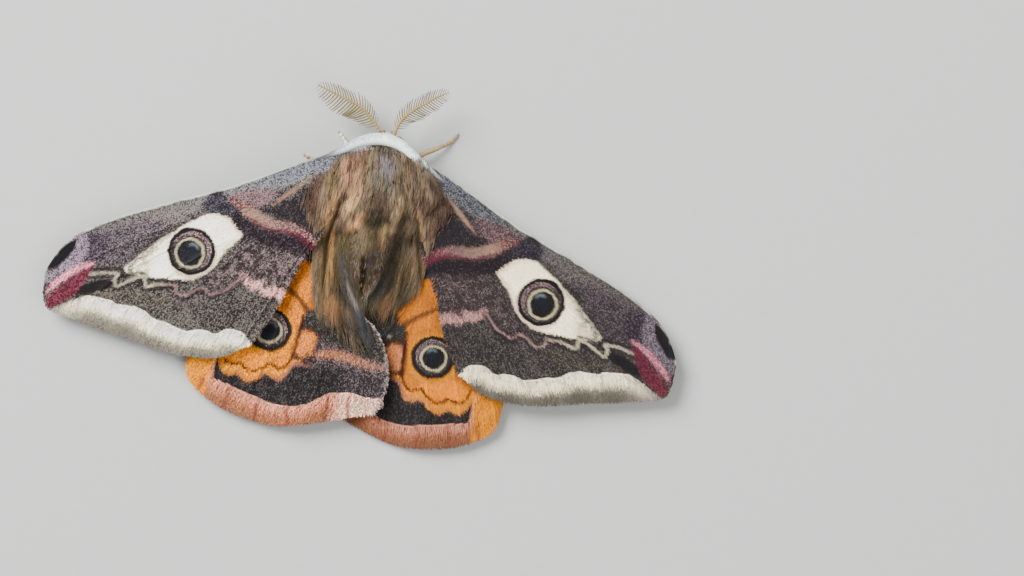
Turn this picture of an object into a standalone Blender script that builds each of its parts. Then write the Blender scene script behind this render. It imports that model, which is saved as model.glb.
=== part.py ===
"""Male small emperor moth at rest with its wings spread, as a life-size museum model.

+X is the moth's right side as seen from above, +Y its head end and +Z up. Every length below is in
millimetres and is turned into metres by MM when a mesh is made. The feet stand on the floor at z = 0.
"""
import math
import random

import bmesh
import bpy
from mathutils import Matrix, Vector

MM = 0.001
GAP = 0.3  # clear space between two parts that meet

# Body: the half sizes are the core's, which ends half way up the coat.
THORAX_CENTRE = (0.0, 0.1, 4.0)
THORAX_HALF = (3.6, 4.2, 2.2)
THORAX_BELLY = 1.9  # half height below the centre
THORAX_POWER = 2.6  # 2 is an ellipsoid, more is boxier
NECK_Y = 4.0
WAIST_Y = -3.2

ABDOMEN_TIP_Y = -10.4
ABDOMEN_WIDTHS = (1.7, 2.0, 1.9, 1.65, 1.25, 0.7)  # half widths, evenly spaced from waist to tip
ABDOMEN_HEIGHT = 0.92  # half height over half width
ABDOMEN_FRONT_Z = 3.8
ABDOMEN_TIP_Z = 3.0

HEAD_CENTRE = (0.0, 4.7, 3.3)
HEAD_HALF = (1.4, 0.95, 1.25)
HEAD_POWER = 2.2
EYE_PLANE_X = 1.3  # flat inner face of each eye
EYE_CENTRE = (1.3, 4.87, 3.2)
EYE_HALF = (0.62, 0.72, 0.78)
PALP_ROOT = (0.35, 5.3, 2.5)
PALP_TIP = (0.5, 6.15, 2.3)
PALP_SAG = 0.15
PALP_WIDTH = 0.6

# Locks of the coat. Each row has a count, its place along the body, the angle that it reaches to both
# sides of the top, the locks' length and width, their lie to the sides and along, and their rise.
LOCK_THICKNESS = 0.5
ROOT_DEPTH = 0.55  # how far a lock's root is sunk in its core
LOCK_TILT_ROOM = 0.2  # room below a lock that lies tilted
WING_ROOT_X = 3.0  # locks that reach further out pass over the forewing's root
WAIST_ROOM = 0.5  # locks that reach this near to the waist pass over the abdomen
FLANK_ROOM = 1.0  # and over its flanks this far out
ROW_WANDER = 0.12  # the locks of a row start this much in front of it or behind it
THORAX_ROWS = [
    (7, 3.0, 42, (2.9, 1.5), (1.7, -1), 0.5),
    (7, 1.5, 45, (3.0, 1.5), (1.4, -1), 0.45),
    (7, 0.0, 47, (3.0, 1.45), (1.1, -1), 0.45),
    (7, -1.6, 50, (3.5, 1.4), (0.4, -1), 0.45),
    (11, 2.3, 50, (2.9, 1.5), (1.9, 1), 0.3),
]
ABDOMEN_ROWS = [
    (3, -5.0, 24, (2.6, 1.3), (0.1, -1), 0.2),
    (4, -6.3, 45, (2.6, 1.2), (0.15, -1), 0.3),
    (4, -7.6, 50, (2.6, 1.2), (0.15, -1), 0.3),
    (3, -9.0, 36, (3.3, 1.2), (0.15, -1), 0.3),
]
HEAD_ROWS = [
    (4, 4.6, 30, (0.8, 0.75), (0.2, 1), 0.05),
    (3, 5.2, 22, (0.75, 0.7), (0.2, 1), 0.05),
]
STREAMER_WIDTH = 1.2
STREAMER_BOW = 0.5  # how far each bows out between its root and its tip
STREAMER_TOP = 4.95  # the streamers stay below this where the thorax's locks pass over them
# The long hair over the hindwings' bases: place along the abdomen, angle from its top, tip (x, y).
STREAMERS = [(0.1, 70, 4.5, -8.3), (0.16, 62, 4.5, -10.6), (0.26, 68, 3.9, -12.2), (0.36, 55, 3.1, -13.4),
             (0.48, 60, 2.3, -14.4), (0.6, 48, 1.3, -15.2), (0.72, 30, 0.5, -14.2)]

# Wings: plan outlines of the right wings, and the height of their middle surfaces.
WING_THICKNESS = 0.5
VEIN_HEIGHT = 0.25
HINGE_XY = (3.0, 1.0)
HINGE_Z = 5.0
MARGIN_Z = 1.8
WING_REACH = 31.0
WING_SLOPE = 1.2
HINDWING_DROP = 1.1

FOREWING_HINGE = (3.4, -0.8)  # front and rear y of the root
FOREWING_COSTA = [(4.4, 3.35), (6.6, 2.35), (9.0, 1.1), (15.0, -1.95), (21.0, -4.4), (27.0, -7.2), (30.3, -9.7)]
FOREWING_APEX = (32.3, -13.4)
FOREWING_MARGIN = [(31.6, -16.6), (29.0, -17.5), (24.0, -18.4), (18.0, -19.4), (13.4, -19.0)]
FOREWING_TORNUS = (10.7, -17.1)
FOREWING_INNER = [(5.6, -6.0), (7.2, -9.2), (8.8, -13.5)]
# Each vein's place along the outer margin, and how far out from the hinge it starts.
FOREWING_VEINS = [(0.03, 0.0), (0.13, 0.4), (0.27, 0.42), (0.41, 0.42), (0.55, 0.36), (0.7, 0.25), (0.93, 0.0)]

HINDWING_HINGE = (-1.0, -2.7)
HINDWING_COSTA = [(7.5, -5.0), (12.0, -11.5), (14.8, -17.0)]
HINDWING_APEX = (15.5, -19.8)
HINDWING_MARGIN = [(14.8, -22.6), (12.0, -24.4), (9.0, -25.2), (5.5, -25.4), (2.5, -24.6), (-1.0, -23.2)]
HINDWING_CORNER = (-4.1, -21.9)
HINDWING_INNER = [(2.9, -5.0), (2.8, -8.0), (1.9, -10.8), (-0.6, -12.2), (-2.6, -13.5), (-4.2, -16.0),
                  (-4.8, -18.9)]
HINDWING_VEINS = [(0.1, 0.0), (0.26, 0.4), (0.4, 0.4), (0.54, 0.36), (0.68, 0.25), (0.87, 0.0)]
HINDWING_PIVOT = (3.5, -2.5)
LEFT_SWING = math.radians(4.8)  # the left hindwing is held this much further out
OVERLAP_LIFT = 0.53  # the left hindwing rises and the right one sinks by this where they cross
OVERLAP_X = (4.9, 7.8)  # the lift is whole inside the first and gone past the second
OVERLAP_Y = (-12.0, -5.5)

# Antennae: the shaft of each side from its root to its tip, with rays to both sides.
ANTENNA_PATHS = {
    "left": [(-0.95, 6.0, 4.0), (-1.9, 7.1, 4.05), (-3.0, 7.95, 4.15), (-4.4, 8.45, 4.25),
             (-6.0, 9.0, 4.3), (-7.5, 9.5, 4.3)],
    "right": [(0.8, 6.02, 4.0), (1.25, 7.2, 4.1), (2.2, 8.3, 4.2), (3.3, 9.15, 4.3),
              (4.4, 9.95, 4.35), (5.5, 10.65, 4.35)],
}
SHAFT_RADII = (0.3, 0.27, 0.25, 0.2)
RAY_PAIRS = 9
FIRST_RAY = 0.12  # places of the first and last rays along the shaft
LAST_RAY = 0.96
RAY_LENGTH = 1.5
SHORTEST_RAY = 0.35  # at the antenna's ends, as a share of the longest
RAY_THICKNESS = 0.45
RAY_LEAN = math.radians(28)  # the rays lean towards the antenna's tip

# Legs: where each leaves the thorax (x, y), then its knee, ankle, and the foot's two ends.
FOOT_Z = 0.2  # height of the foot's axis, so that its underside is cut to a small flat
LEG_RADII = (0.42, 0.4, 0.32, 0.27, 0.26)
LEGS = {
    "leg_fore_right": [(1.5, 2.5), (3.9, 4.3, 1.45), (5.3, 5.1, 0.9), (6.4, 5.85), (6.95, 6.6)],
    "leg_fore_left": [(-1.5, 2.5), (-4.0, 2.9, 1.5), (-3.9, 3.9, 0.9), (-4.2, 4.5), (-4.8, 5.1)],
    "leg_mid_right": [(1.8, 0.7), (4.5, 1.2, 1.7), (5.9, 1.3, 0.9), (6.8, 1.1), (7.6, 0.7)],
    "leg_mid_left": [(-1.8, 0.7), (-4.5, 1.4, 1.7), (-6.0, 1.9, 0.9), (-6.9, 2.1), (-7.9, 2.4)],
    "leg_hind_right": [(1.7, -1.3), (4.1, -3.8, 1.6), (4.9, -7.6, 0.9), (5.3, -9.6), (5.6, -12.0)],
    "leg_hind_left": [(-1.7, -1.3), (-4.2, -3.8, 1.6), (-5.2, -7.5, 0.9), (-5.7, -9.4), (-6.2, -11.8)],
}

COLOURS = {
    "thorax": (0.35, 0.27, 0.19),
    "abdomen": (0.27, 0.22, 0.17),
    "head": (0.55, 0.53, 0.50),
    "eye": (0.02, 0.018, 0.015),
    "antenna": (0.42, 0.33, 0.13),
    "forewing": (0.16, 0.12, 0.13),
    "hindwing": (0.72, 0.30, 0.05),
    "leg": (0.58, 0.45, 0.36),
}


def clear_scene():
    for item in list(bpy.data.objects):
        bpy.data.objects.remove(item, do_unlink=True)


def material(name):
    """One matt Principled material for each kind of part."""
    found = bpy.data.materials.get(name)
    if found:
        return found
    made = bpy.data.materials.new(name)
    made.use_nodes = True
    shader = made.node_tree.nodes["Principled BSDF"]
    shader.inputs["Base Color"].default_value = (*COLOURS[name], 1.0)
    shader.inputs["Roughness"].default_value = 0.25 if name == "eye" else 0.8
    return made


def make_object(name, bm, finish, collection=None):
    """Turn a millimetre bmesh into a named object in metres, loose if it goes in no collection."""
    bm.transform(Matrix.Scale(MM, 4))
    mesh = bpy.data.meshes.new(name)
    bm.to_mesh(mesh)
    bm.free()
    mesh.materials.append(material(finish))
    made = bpy.data.objects.new(name, mesh)
    if collection:
        collection.objects.link(made)
    return made


def evaluated_mesh(item):
    bpy.context.view_layer.update()
    graph = bpy.context.evaluated_depsgraph_get()
    return bpy.data.meshes.new_from_object(item.evaluated_get(graph))


def curve_point(points, t):
    """Point at t, from 0 to 1 by chord length, on a smooth curve through the points."""
    knots = [Vector(p) for p in points]
    chords = [(b - a).length for a, b in zip(knots, knots[1:])]
    target = t * sum(chords)
    index = 0
    while index < len(chords) - 1 and target > chords[index]:
        target -= chords[index]
        index += 1
    local = target / chords[index]

    def slope(i):
        """Tangent at knot i, scaled to the current chord."""
        before, after = max(i - 1, 0), min(i + 1, len(knots) - 1)
        span = sum(chords[before:after])
        return (knots[after] - knots[before]) * (chords[index] / span)

    start, end = knots[index], knots[index + 1]
    square, cube = local ** 2, local ** 3
    return (start * (2 * cube - 3 * square + 1) + slope(index) * (cube - 2 * square + local)
            + end * (3 * square - 2 * cube) + slope(index + 1) * (cube - square))


def even_values(values, t):
    """Value at t from 0 to 1 on a smooth curve through evenly spaced values."""
    return curve_point(list(enumerate(values)), t)[1]


def fade(value, low, high):
    """Smooth step from 0 at low to 1 at high."""
    t = min(max((value - low) / (high - low), 0.0), 1.0)
    return t * t * (3 - 2 * t)


def cut_flat(bm, point, normal):
    """Take away what lies beyond the plane and close the cut with a flat face."""
    whole = bm.verts[:] + bm.edges[:] + bm.faces[:]
    bmesh.ops.bisect_plane(bm, geom=whole, plane_co=point, plane_no=normal, clear_outer=True)
    bmesh.ops.holes_fill(bm, edges=[edge for edge in bm.edges if edge.is_boundary])


def largest_body(bm):
    """Keep only the largest closed surface of a bmesh."""
    left = set(bm.faces)
    bodies = []
    while left:
        body = set()
        front = [left.pop()]
        while front:
            face = front.pop()
            body.add(face)
            for edge in face.edges:
                near = [other for other in edge.link_faces if other in left]
                left.difference_update(near)
                front.extend(near)
        bodies.append(body)
    keep = max(bodies, key=len)
    bmesh.ops.delete(bm, geom=[face for face in bm.faces if face not in keep], context="FACES")


def fuse(core, pieces):
    """Join the pieces to their core as one closed body and remove them."""
    held = bpy.data.collections.new(core.name + "_pieces")
    bpy.context.scene.collection.children.link(held)
    for piece in pieces:
        held.objects.link(piece)
    union = core.modifiers.new("union", "BOOLEAN")
    union.operation = "UNION"
    union.operand_type = "COLLECTION"
    union.collection = held
    union.solver = "MANIFOLD"
    joined = evaluated_mesh(core)
    core.modifiers.remove(union)
    bm = bmesh.new()
    bm.from_mesh(joined)
    bmesh.ops.triangulate(bm, faces=bm.faces)
    largest_body(bm)
    bm.to_mesh(core.data)
    bm.free()
    bpy.data.meshes.remove(joined)
    for piece in pieces:
        bpy.data.objects.remove(piece, do_unlink=True)
    bpy.data.collections.remove(held)


def blade(path, width, thickness, flat, rings=4):
    """A flat, tapered blade with four sides along a smooth path, ending in a point.

    flat is the direction that its broad side faces."""
    bm = bmesh.new()
    sections = []
    for i in range(rings):
        t = i / rings
        here = curve_point(path, t)
        along = (curve_point(path, t + 0.02) - curve_point(path, max(t - 0.02, 0))).normalized()
        across = along.cross(flat).normalized()
        up = across.cross(along)
        half_width = width / 2 * (1 - t ** 2.2)
        half_thickness = thickness / 2 * (1 - 0.35 * t)
        offsets = (across * half_width, up * half_thickness, -across * half_width, -up * half_thickness)
        sections.append([bm.verts.new(here + offset) for offset in offsets])
    tip = bm.verts.new(curve_point(path, 1.0))
    bm.faces.new(sections[0])
    for near, far in zip(sections, sections[1:]):
        for a, b, c, d in zip(near, near[1:] + near[:1], far[1:] + far[:1], far):
            bm.faces.new((a, b, c, d))
    for a, b in zip(sections[-1], sections[-1][1:] + sections[-1][:1]):
        bm.faces.new((a, b, tip))
    bmesh.ops.recalc_face_normals(bm, faces=bm.faces)
    bmesh.ops.triangulate(bm, faces=bm.faces)
    return bm


def lock(root, normal, lie, size, rise, limit, draw, finish):
    """One lock of hair from a point on the core, bending over to run along its lie.

    limit moves each point of the lock clear of what lies below it."""
    length = size[0] * draw.uniform(0.88, 1.12)
    width = size[1] * draw.uniform(0.9, 1.1)
    side = normal.cross(lie).normalized() * draw.uniform(-0.1, 0.1) * length
    path = [root - normal * ROOT_DEPTH,
            limit(root + lie * length * 0.15 + normal * 0.1),
            limit(root + lie * length * 0.5 + normal * rise + side * 0.5),
            limit(root + lie * length + normal * rise * 0.7 + side)]
    broad_side = (normal + Vector((0, 0, 1))).normalized()
    return make_object("lock", blade(path, width, LOCK_THICKNESS, broad_side), finish)


def rows_of_locks(rows, surface, limit, draw, finish):
    """Locks in rows across the back; surface gives the point and normal at an angle and a y."""
    locks = []
    for count, y, spread, size, push, rise in rows:
        for i in range(count):
            angle = math.radians(spread) * (2 * i / (count - 1) - 1)
            point, normal = surface(angle, y + draw.uniform(-ROW_WANDER, ROW_WANDER))
            lie = lie_along((push[0] * math.sin(angle), push[1], 0), normal)
            locks.append(lock(point, normal, lie, size, rise, limit, draw, finish))
    return locks


def superellipsoid(centre, half, power, around, rings, below=None):
    """A sphere made boxier by the power and stretched to the half sizes, below its centre too."""
    bm = bmesh.new()
    bmesh.ops.create_uvsphere(bm, u_segments=around, v_segments=rings, radius=1.0)
    for vert in bm.verts:
        size = sum(abs(c) ** power for c in vert.co) ** (1 / power)
        height = below if below and vert.co.z < 0 else half[2]
        stretch = Vector((half[0], half[1], height))
        vert.co = Vector(centre) + stretch * vert.co / size
    return bm


def top_point(centre, half, power, angle, y):
    """Point and outward normal on the upper side of a superellipsoid, angle from straight up."""
    along = (y - centre[1]) / half[1]
    girth = (1 - abs(along) ** power) ** (1 / power)
    across = math.copysign(abs(math.sin(angle)) ** (2 / power), angle) * girth
    up = abs(math.cos(angle)) ** (2 / power) * girth
    scaled = (across, along, up)
    point = Vector(centre[i] + half[i] * scaled[i] for i in range(3))
    normal = Vector(math.copysign(abs(s) ** (power - 1), s) / h for s, h in zip(scaled, half))
    return point, normal.normalized()


def lie_along(direction, normal):
    """The direction laid down on the surface that has this normal."""
    flat = Vector(direction)
    return (flat - normal * flat.dot(normal)).normalized()


def thorax_side(y, z):
    """Half width of the thorax at a height and a place along the body."""
    along = abs((y - THORAX_CENTRE[1]) / THORAX_HALF[1]) ** THORAX_POWER
    reach = THORAX_HALF[2] if z > THORAX_CENTRE[2] else THORAX_BELLY
    up = abs((z - THORAX_CENTRE[2]) / reach) ** THORAX_POWER
    return THORAX_HALF[0] * (1 - along - up) ** (1 / THORAX_POWER)


def thorax_underside(x, y):
    across = abs(x / THORAX_HALF[0]) ** THORAX_POWER
    along = abs((y - THORAX_CENTRE[1]) / THORAX_HALF[1]) ** THORAX_POWER
    return THORAX_CENTRE[2] - THORAX_BELLY * (1 - across - along) ** (1 / THORAX_POWER)


def over_neighbours(point):
    """Raise a point of the thorax's locks clear of the forewing's root and of the abdomen."""
    lowest = point.z
    clearance = GAP + LOCK_THICKNESS / 2 + LOCK_TILT_ROOM
    if abs(point.x) > WING_ROOT_X:
        lowest = wing_height(point.x, point.y) + WING_THICKNESS / 2 + VEIN_HEIGHT + clearance
    if point.y < WAIST_Y + WAIST_ROOM:
        t = min(max((WAIST_Y - point.y) / (WAIST_Y - ABDOMEN_TIP_Y), 0.0), 1.0)
        centre, width = abdomen_section(t)
        roof = math.sqrt(max(1 - (point.x / (width + FLANK_ROOM)) ** 2, 0.0))
        over_core = centre.z + width * ABDOMEN_HEIGHT * roof + clearance
        lowest = max(lowest, over_core, STREAMER_TOP + clearance)
    return Vector((point.x, point.y, max(point.z, lowest)))


def over_hindwing(point):
    """Raise a lock's point clear of the higher, left hindwing."""
    lowest = (hindwing_height(-abs(point.x), point.y, -1) + WING_THICKNESS / 2 + VEIN_HEIGHT + GAP
              + LOCK_THICKNESS / 2)
    return Vector((point.x, point.y, max(point.z, lowest)))


def build_thorax(collection):
    """The core, a back of overlapping locks that lie to the rear, and a ruff turned forward."""
    bm = superellipsoid(THORAX_CENTRE, THORAX_HALF, THORAX_POWER, 24, 14, THORAX_BELLY)
    cut_flat(bm, (0, NECK_Y - GAP / 2, 0), (0, 1, 0))
    cut_flat(bm, (0, WAIST_Y + GAP / 2, 0), (0, -1, 0))
    core = make_object("thorax", bm, "thorax", collection)
    draw = random.Random(11)

    def surface(angle, y):
        return top_point(THORAX_CENTRE, THORAX_HALF, THORAX_POWER, angle, y)

    fuse(core, rows_of_locks(THORAX_ROWS, surface, over_neighbours, draw, "thorax"))


def abdomen_section(t):
    """Centre and half width of the abdomen, t from 0 at the waist to 1 at the tip."""
    front = WAIST_Y - GAP / 2
    y = front + (ABDOMEN_TIP_Y - front) * t
    z = ABDOMEN_FRONT_Z + (ABDOMEN_TIP_Z - ABDOMEN_FRONT_Z) * t
    rounding = math.sqrt(max(1 - t ** 6, 0.0))
    return Vector((0, y, z)), even_values(ABDOMEN_WIDTHS, t) * rounding


def abdomen_point(t, angle):
    """Point and outward normal on the abdomen, angle from straight up."""
    centre, width = abdomen_section(t)
    around = Vector((math.sin(angle), 0, math.cos(angle) * ABDOMEN_HEIGHT))
    return centre + around * width, Vector((around.x, -0.15 - 0.3 * t, around.z)).normalized()


def build_abdomen(collection, around=16, rings=9):
    """A tapering barrel with locks that lie to the rear and long streamers over the hindwings."""
    bm = bmesh.new()
    bmesh.ops.create_cone(bm, cap_ends=True, segments=around, radius1=1, radius2=1, depth=1)
    lengthwise = [edge for edge in bm.edges if abs(edge.verts[0].co.z - edge.verts[1].co.z) > 0.5]
    bmesh.ops.subdivide_edges(bm, edges=lengthwise, cuts=rings - 1, use_grid_fill=True)
    for vert in bm.verts:
        t = min(0.5 - vert.co.z, 0.985) ** 0.8
        centre, width = abdomen_section(t)
        vert.co = centre + Vector((vert.co.x * width, 0, vert.co.y * width * ABDOMEN_HEIGHT))
    bmesh.ops.recalc_face_normals(bm, faces=bm.faces)
    core = make_object("abdomen", bm, "abdomen", collection)
    draw = random.Random(23)

    def surface(angle, y):
        return abdomen_point((y - WAIST_Y) / (ABDOMEN_TIP_Y - WAIST_Y), angle)

    pieces = rows_of_locks(ABDOMEN_ROWS, surface, over_hindwing, draw, "abdomen")
    for side in (-1, 1):
        for t, angle, tip_x, tip_y in STREAMERS:
            root, normal = abdomen_point(t, side * math.radians(angle))
            tip = over_hindwing(Vector((side * tip_x, tip_y + draw.uniform(-0.3, 0.3), 0)))
            middle = over_hindwing(root.lerp(tip, 0.5) + Vector((side * STREAMER_BOW, 0, 0.15)))
            path = [root - normal * ROOT_DEPTH, root + (middle - root) * 0.3 + normal * 0.1, middle, tip]
            streamer = blade(path, STREAMER_WIDTH, LOCK_THICKNESS, Vector((0, 0, 1)), 5)
            pieces.append(make_object("streamer", streamer, "abdomen"))
    fuse(core, pieces)


def build_head(collection):
    """A round face between the eyes, with two palps and short locks on its front and crown."""
    bm = superellipsoid(HEAD_CENTRE, HEAD_HALF, HEAD_POWER, 20, 12)
    cut_flat(bm, (0, NECK_Y + GAP / 2, 0), (0, -1, 0))
    for side in (-1, 1):
        cut_flat(bm, (side * (EYE_PLANE_X - GAP), 0, 0), (side, 0, 0))
    core = make_object("head", bm, "head", collection)
    draw = random.Random(5)

    def surface(angle, y):
        return top_point(HEAD_CENTRE, HEAD_HALF, HEAD_POWER, angle, y)

    pieces = rows_of_locks(HEAD_ROWS, surface, lambda point: point, draw, "head")
    for side in (-1, 1):
        root = Vector((side * PALP_ROOT[0], *PALP_ROOT[1:]))
        tip = Vector((side * PALP_TIP[0], *PALP_TIP[1:]))
        bend = (root + tip) / 2 + Vector((0, 0, -PALP_SAG))
        inner = root - (tip - root) * 0.5
        palp = blade([inner, bend, tip], PALP_WIDTH, PALP_WIDTH, Vector((0, 0, 1)))
        pieces.append(make_object("palp", palp, "head"))
    fuse(core, pieces)


def build_eyes(collection):
    for side, name in ((-1, "eye_left"), (1, "eye_right")):
        centre = (side * EYE_CENTRE[0], EYE_CENTRE[1], EYE_CENTRE[2])
        bm = superellipsoid(centre, EYE_HALF, 2.0, 16, 10)
        cut_flat(bm, (side * EYE_PLANE_X, 0, 0), (-side, 0, 0))
        make_object(name, bm, "eye", collection)


def wing_height(x, y):
    """Height of the forewing's middle surface, high at the hinge and low at the margin."""
    reach = math.hypot(abs(x) - HINGE_XY[0], y - HINGE_XY[1])
    left_over = max(1 - reach / WING_REACH, 0.0)
    return MARGIN_Z + (HINGE_Z - MARGIN_Z) * left_over ** WING_SLOPE


def hindwing_height(x, y, side):
    """Below the forewing, with the left wing lying over the right one behind the body."""
    crossing = (1 - fade(abs(x), *OVERLAP_X)) * (1 - fade(y, *OVERLAP_Y))
    return wing_height(x, y) - HINDWING_DROP - side * OVERLAP_LIFT * crossing


def wing_plan(costa, margin, inner, hinge, u, v):
    """Point of a wing's plan: u from hinge to margin, v from the leading to the trailing edge."""
    front, rear = curve_point(costa, u), curve_point(inner, u)
    near, far = curve_point(hinge, v), curve_point(margin, v)
    corners = ((1 - u) * (1 - v) * Vector(costa[0]) + (1 - u) * v * Vector(inner[0])
               + u * (1 - v) * Vector(margin[0]) + u * v * Vector(margin[-1]))
    return (1 - v) * front + v * rear + (1 - u) * near + u * far - corners


def vein_columns(veins, half_width=0.018):
    """Columns across a wing: each vein's two feet and crest, the middle of each cell, both edges.

    Each column is its place from 0 to 1 and where its ridge starts, or None beside the veins."""
    columns = [(0.0, None)]
    for place, start in veins:
        before = columns[-1][0]
        foot = place - half_width
        if foot - before > 2 * half_width:
            columns.append(((before + foot) / 2, None))
        columns += [(foot, None), (place, start), (place + half_width, None)]
    columns += [((columns[-1][0] + 1) / 2, None), (1.0, None)]
    return columns


def vein_rise(start, u):
    """Height of a vein's ridge at u, growing from its start and low at the wing's edge."""
    if start is None:
        return 0.0
    return VEIN_HEIGHT * fade(u, start, start + 0.18) * (1 - 0.6 * fade(u, 0.85, 1.0))


def build_wing(name, side, edges, veins, height, rows, finish, collection):
    """A sheet over the wing's plan with its veins raised, thickened to both sides."""
    columns = vein_columns(veins)
    bm = bmesh.new()
    bmesh.ops.create_grid(bm, x_segments=rows, y_segments=len(columns) - 1, size=1.0)
    for vert in bm.verts:
        u = (vert.co.x + 1) / 2
        v, start = columns[round((vert.co.y + 1) / 2 * (len(columns) - 1))]
        plan = wing_plan(*edges, u, v)
        x, y = side * plan.x, plan.y
        vert.co = (x, y, height(x, y) + vein_rise(start, u))
    bmesh.ops.triangulate(bm, faces=bm.faces)
    bm.normal_update()
    if sum(face.normal.z for face in bm.faces) < 0:
        bmesh.ops.reverse_faces(bm, faces=bm.faces)
    made = make_object(name, bm, finish, collection)
    shell = made.modifiers.new("thickness", "SOLIDIFY")
    shell.thickness = WING_THICKNESS * MM
    shell.offset = 0
    return made


def hinge_line(front_y, rear_y, height, count=5):
    """The wing's root, just clear of the thorax, from front to rear."""
    level = height - WING_THICKNESS / 2
    line = []
    for i in range(count):
        y = front_y + (rear_y - front_y) * i / (count - 1)
        slope = thorax_side(y + 0.5, level) - thorax_side(y - 0.5, level)
        line.append((thorax_side(y, level) + GAP * math.hypot(1, slope), y))
    return line


def build_forewings(collection):
    hinge = hinge_line(*FOREWING_HINGE, HINGE_Z)
    edges = ([hinge[0], *FOREWING_COSTA, FOREWING_APEX],
             [FOREWING_APEX, *FOREWING_MARGIN, FOREWING_TORNUS],
             [hinge[-1], *FOREWING_INNER, FOREWING_TORNUS],
             hinge)
    for side, name in ((-1, "forewing_left"), (1, "forewing_right")):
        build_wing(name, side, edges, FOREWING_VEINS, wing_height, 12, "forewing", collection)


def swing(points, angle):
    """Turn plan points about the hindwing's pivot, outwards for a positive angle."""
    pivot = Vector(HINDWING_PIVOT)
    turn = Matrix.Rotation(angle, 2)
    return [tuple(pivot + turn @ (Vector(p) - pivot)) for p in points]


def build_hindwings(collection):
    hinge = hinge_line(*HINDWING_HINGE, HINGE_Z - HINDWING_DROP)
    for side, name, angle in ((-1, "hindwing_left", LEFT_SWING), (1, "hindwing_right", 0.0)):
        apex, corner = swing([HINDWING_APEX, HINDWING_CORNER], angle)
        edges = ([hinge[0], *swing(HINDWING_COSTA, angle), apex],
                 [apex, *swing(HINDWING_MARGIN, angle), corner],
                 [hinge[-1], *swing(HINDWING_INNER, angle), corner],
                 hinge)
        build_wing(name, side, edges, HINDWING_VEINS,
                   lambda x, y, s=side: hindwing_height(x, y, s), 11, "hindwing", collection)


def tube_bmesh(points, radii):
    """A tube of changing thickness as a closed bmesh, in millimetres."""
    curve = bpy.data.curves.new("tube", "CURVE")
    curve.dimensions = "3D"
    curve.bevel_depth = 1.0
    curve.bevel_resolution = 2
    curve.use_fill_caps = True
    spline = curve.splines.new("POLY")
    spline.points.add(len(points) - 1)
    for knot, place, radius in zip(spline.points, points, radii):
        knot.co = (*place, 1.0)
        knot.radius = radius
    guide = bpy.data.objects.new("tube", curve)
    bpy.context.scene.collection.objects.link(guide)
    mesh = evaluated_mesh(guide)
    bm = bmesh.new()
    bm.from_mesh(mesh)
    bmesh.ops.remove_doubles(bm, verts=bm.verts, dist=0.001)
    bpy.data.objects.remove(guide, do_unlink=True)
    bpy.data.curves.remove(curve)
    bpy.data.meshes.remove(mesh)
    return bm


def build_antennae(collection, steps=10):
    """A tapering shaft with a row of rays to each side, longest near its middle."""
    for side, path in ANTENNA_PATHS.items():
        spots = [i / steps for i in range(steps + 1)]
        shaft = tube_bmesh([curve_point(path, t) for t in spots],
                           [even_values(SHAFT_RADII, t) for t in spots])
        core = make_object("antenna_" + side, shaft, "antenna", collection)
        pieces = []
        for i in range(RAY_PAIRS):
            t = FIRST_RAY + (LAST_RAY - FIRST_RAY) * i / (RAY_PAIRS - 1)
            here = curve_point(path, t)
            ahead = (curve_point(path, min(t + 0.02, 1)) - curve_point(path, t - 0.02)).normalized()
            middle_share = math.sin(math.pi * (0.12 + 0.8 * t)) ** 0.8
            length = RAY_LENGTH * (SHORTEST_RAY + (1 - SHORTEST_RAY) * middle_share)
            for hand in (-1, 1):
                out = Matrix.Rotation(hand * (math.pi / 2 - RAY_LEAN), 3, "Z") @ ahead
                sunk = 0.1 + 0.05 * hand  # the two roots of a pair don't meet in one point
                path_out = [here - out * sunk, here + out * length * 0.55,
                            here + out * length + ahead * 0.25 * length]
                ray = blade(path_out, RAY_THICKNESS, RAY_THICKNESS, Vector((0, 0, 1)), 3)
                pieces.append(make_object("ray", ray, "antenna"))
        fuse(core, pieces)


def build_legs(collection, steps=13):
    """Each leg leaves the thorax's underside, bends at the knee and lies flat along its foot."""
    for name, (root, knee, ankle, heel, toe) in LEGS.items():
        hip = Vector((*root, thorax_underside(*root) - GAP - LEG_RADII[0]))
        path = [hip, Vector(knee), Vector(ankle), Vector((*heel, FOOT_Z)), Vector((*toe, FOOT_Z))]
        spots = [i / steps for i in range(steps + 1)]
        places = [curve_point(path, t) for t in spots]
        places = [Vector((p.x, p.y, max(p.z, FOOT_Z))) for p in places]
        bm = tube_bmesh(places, [even_values(LEG_RADII, t) for t in spots])
        cut_flat(bm, (0, 0, 0), (0, 0, -1))
        make_object(name, bm, "leg", collection)


def stand_on_origin(collection):
    """Move every part so that the model's plan is centred on the origin."""
    bpy.context.view_layer.update()
    graph = bpy.context.evaluated_depsgraph_get()
    corners = []
    for item in collection.objects:
        corners += [item.matrix_world @ v.co for v in item.evaluated_get(graph).data.vertices]
    middle_x = (min(c.x for c in corners) + max(c.x for c in corners)) / 2
    middle_y = (min(c.y for c in corners) + max(c.y for c in corners)) / 2
    parent = bpy.data.objects.new("moth", None)
    collection.objects.link(parent)
    for item in list(collection.objects):
        if item.type == "MESH":
            item.parent = parent
    parent.location = (-middle_x, -middle_y, 0)


def main():
    clear_scene()
    collection = bpy.data.collections.new("emperor_moth")
    bpy.context.scene.collection.children.link(collection)
    build_thorax(collection)
    build_abdomen(collection)
    build_head(collection)
    build_eyes(collection)
    build_antennae(collection)
    build_forewings(collection)
    build_hindwings(collection)
    build_legs(collection)
    stand_on_origin(collection)


main()
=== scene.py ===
"""Male small emperor moth with its wings spread, as a life-size museum model.

Sizes and places are in millimetres in the moth's own frame, with x to its right as seen from above, y
towards its head and z up from the floor. The function placed() turns them into metres in the row's frame.
"""

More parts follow.
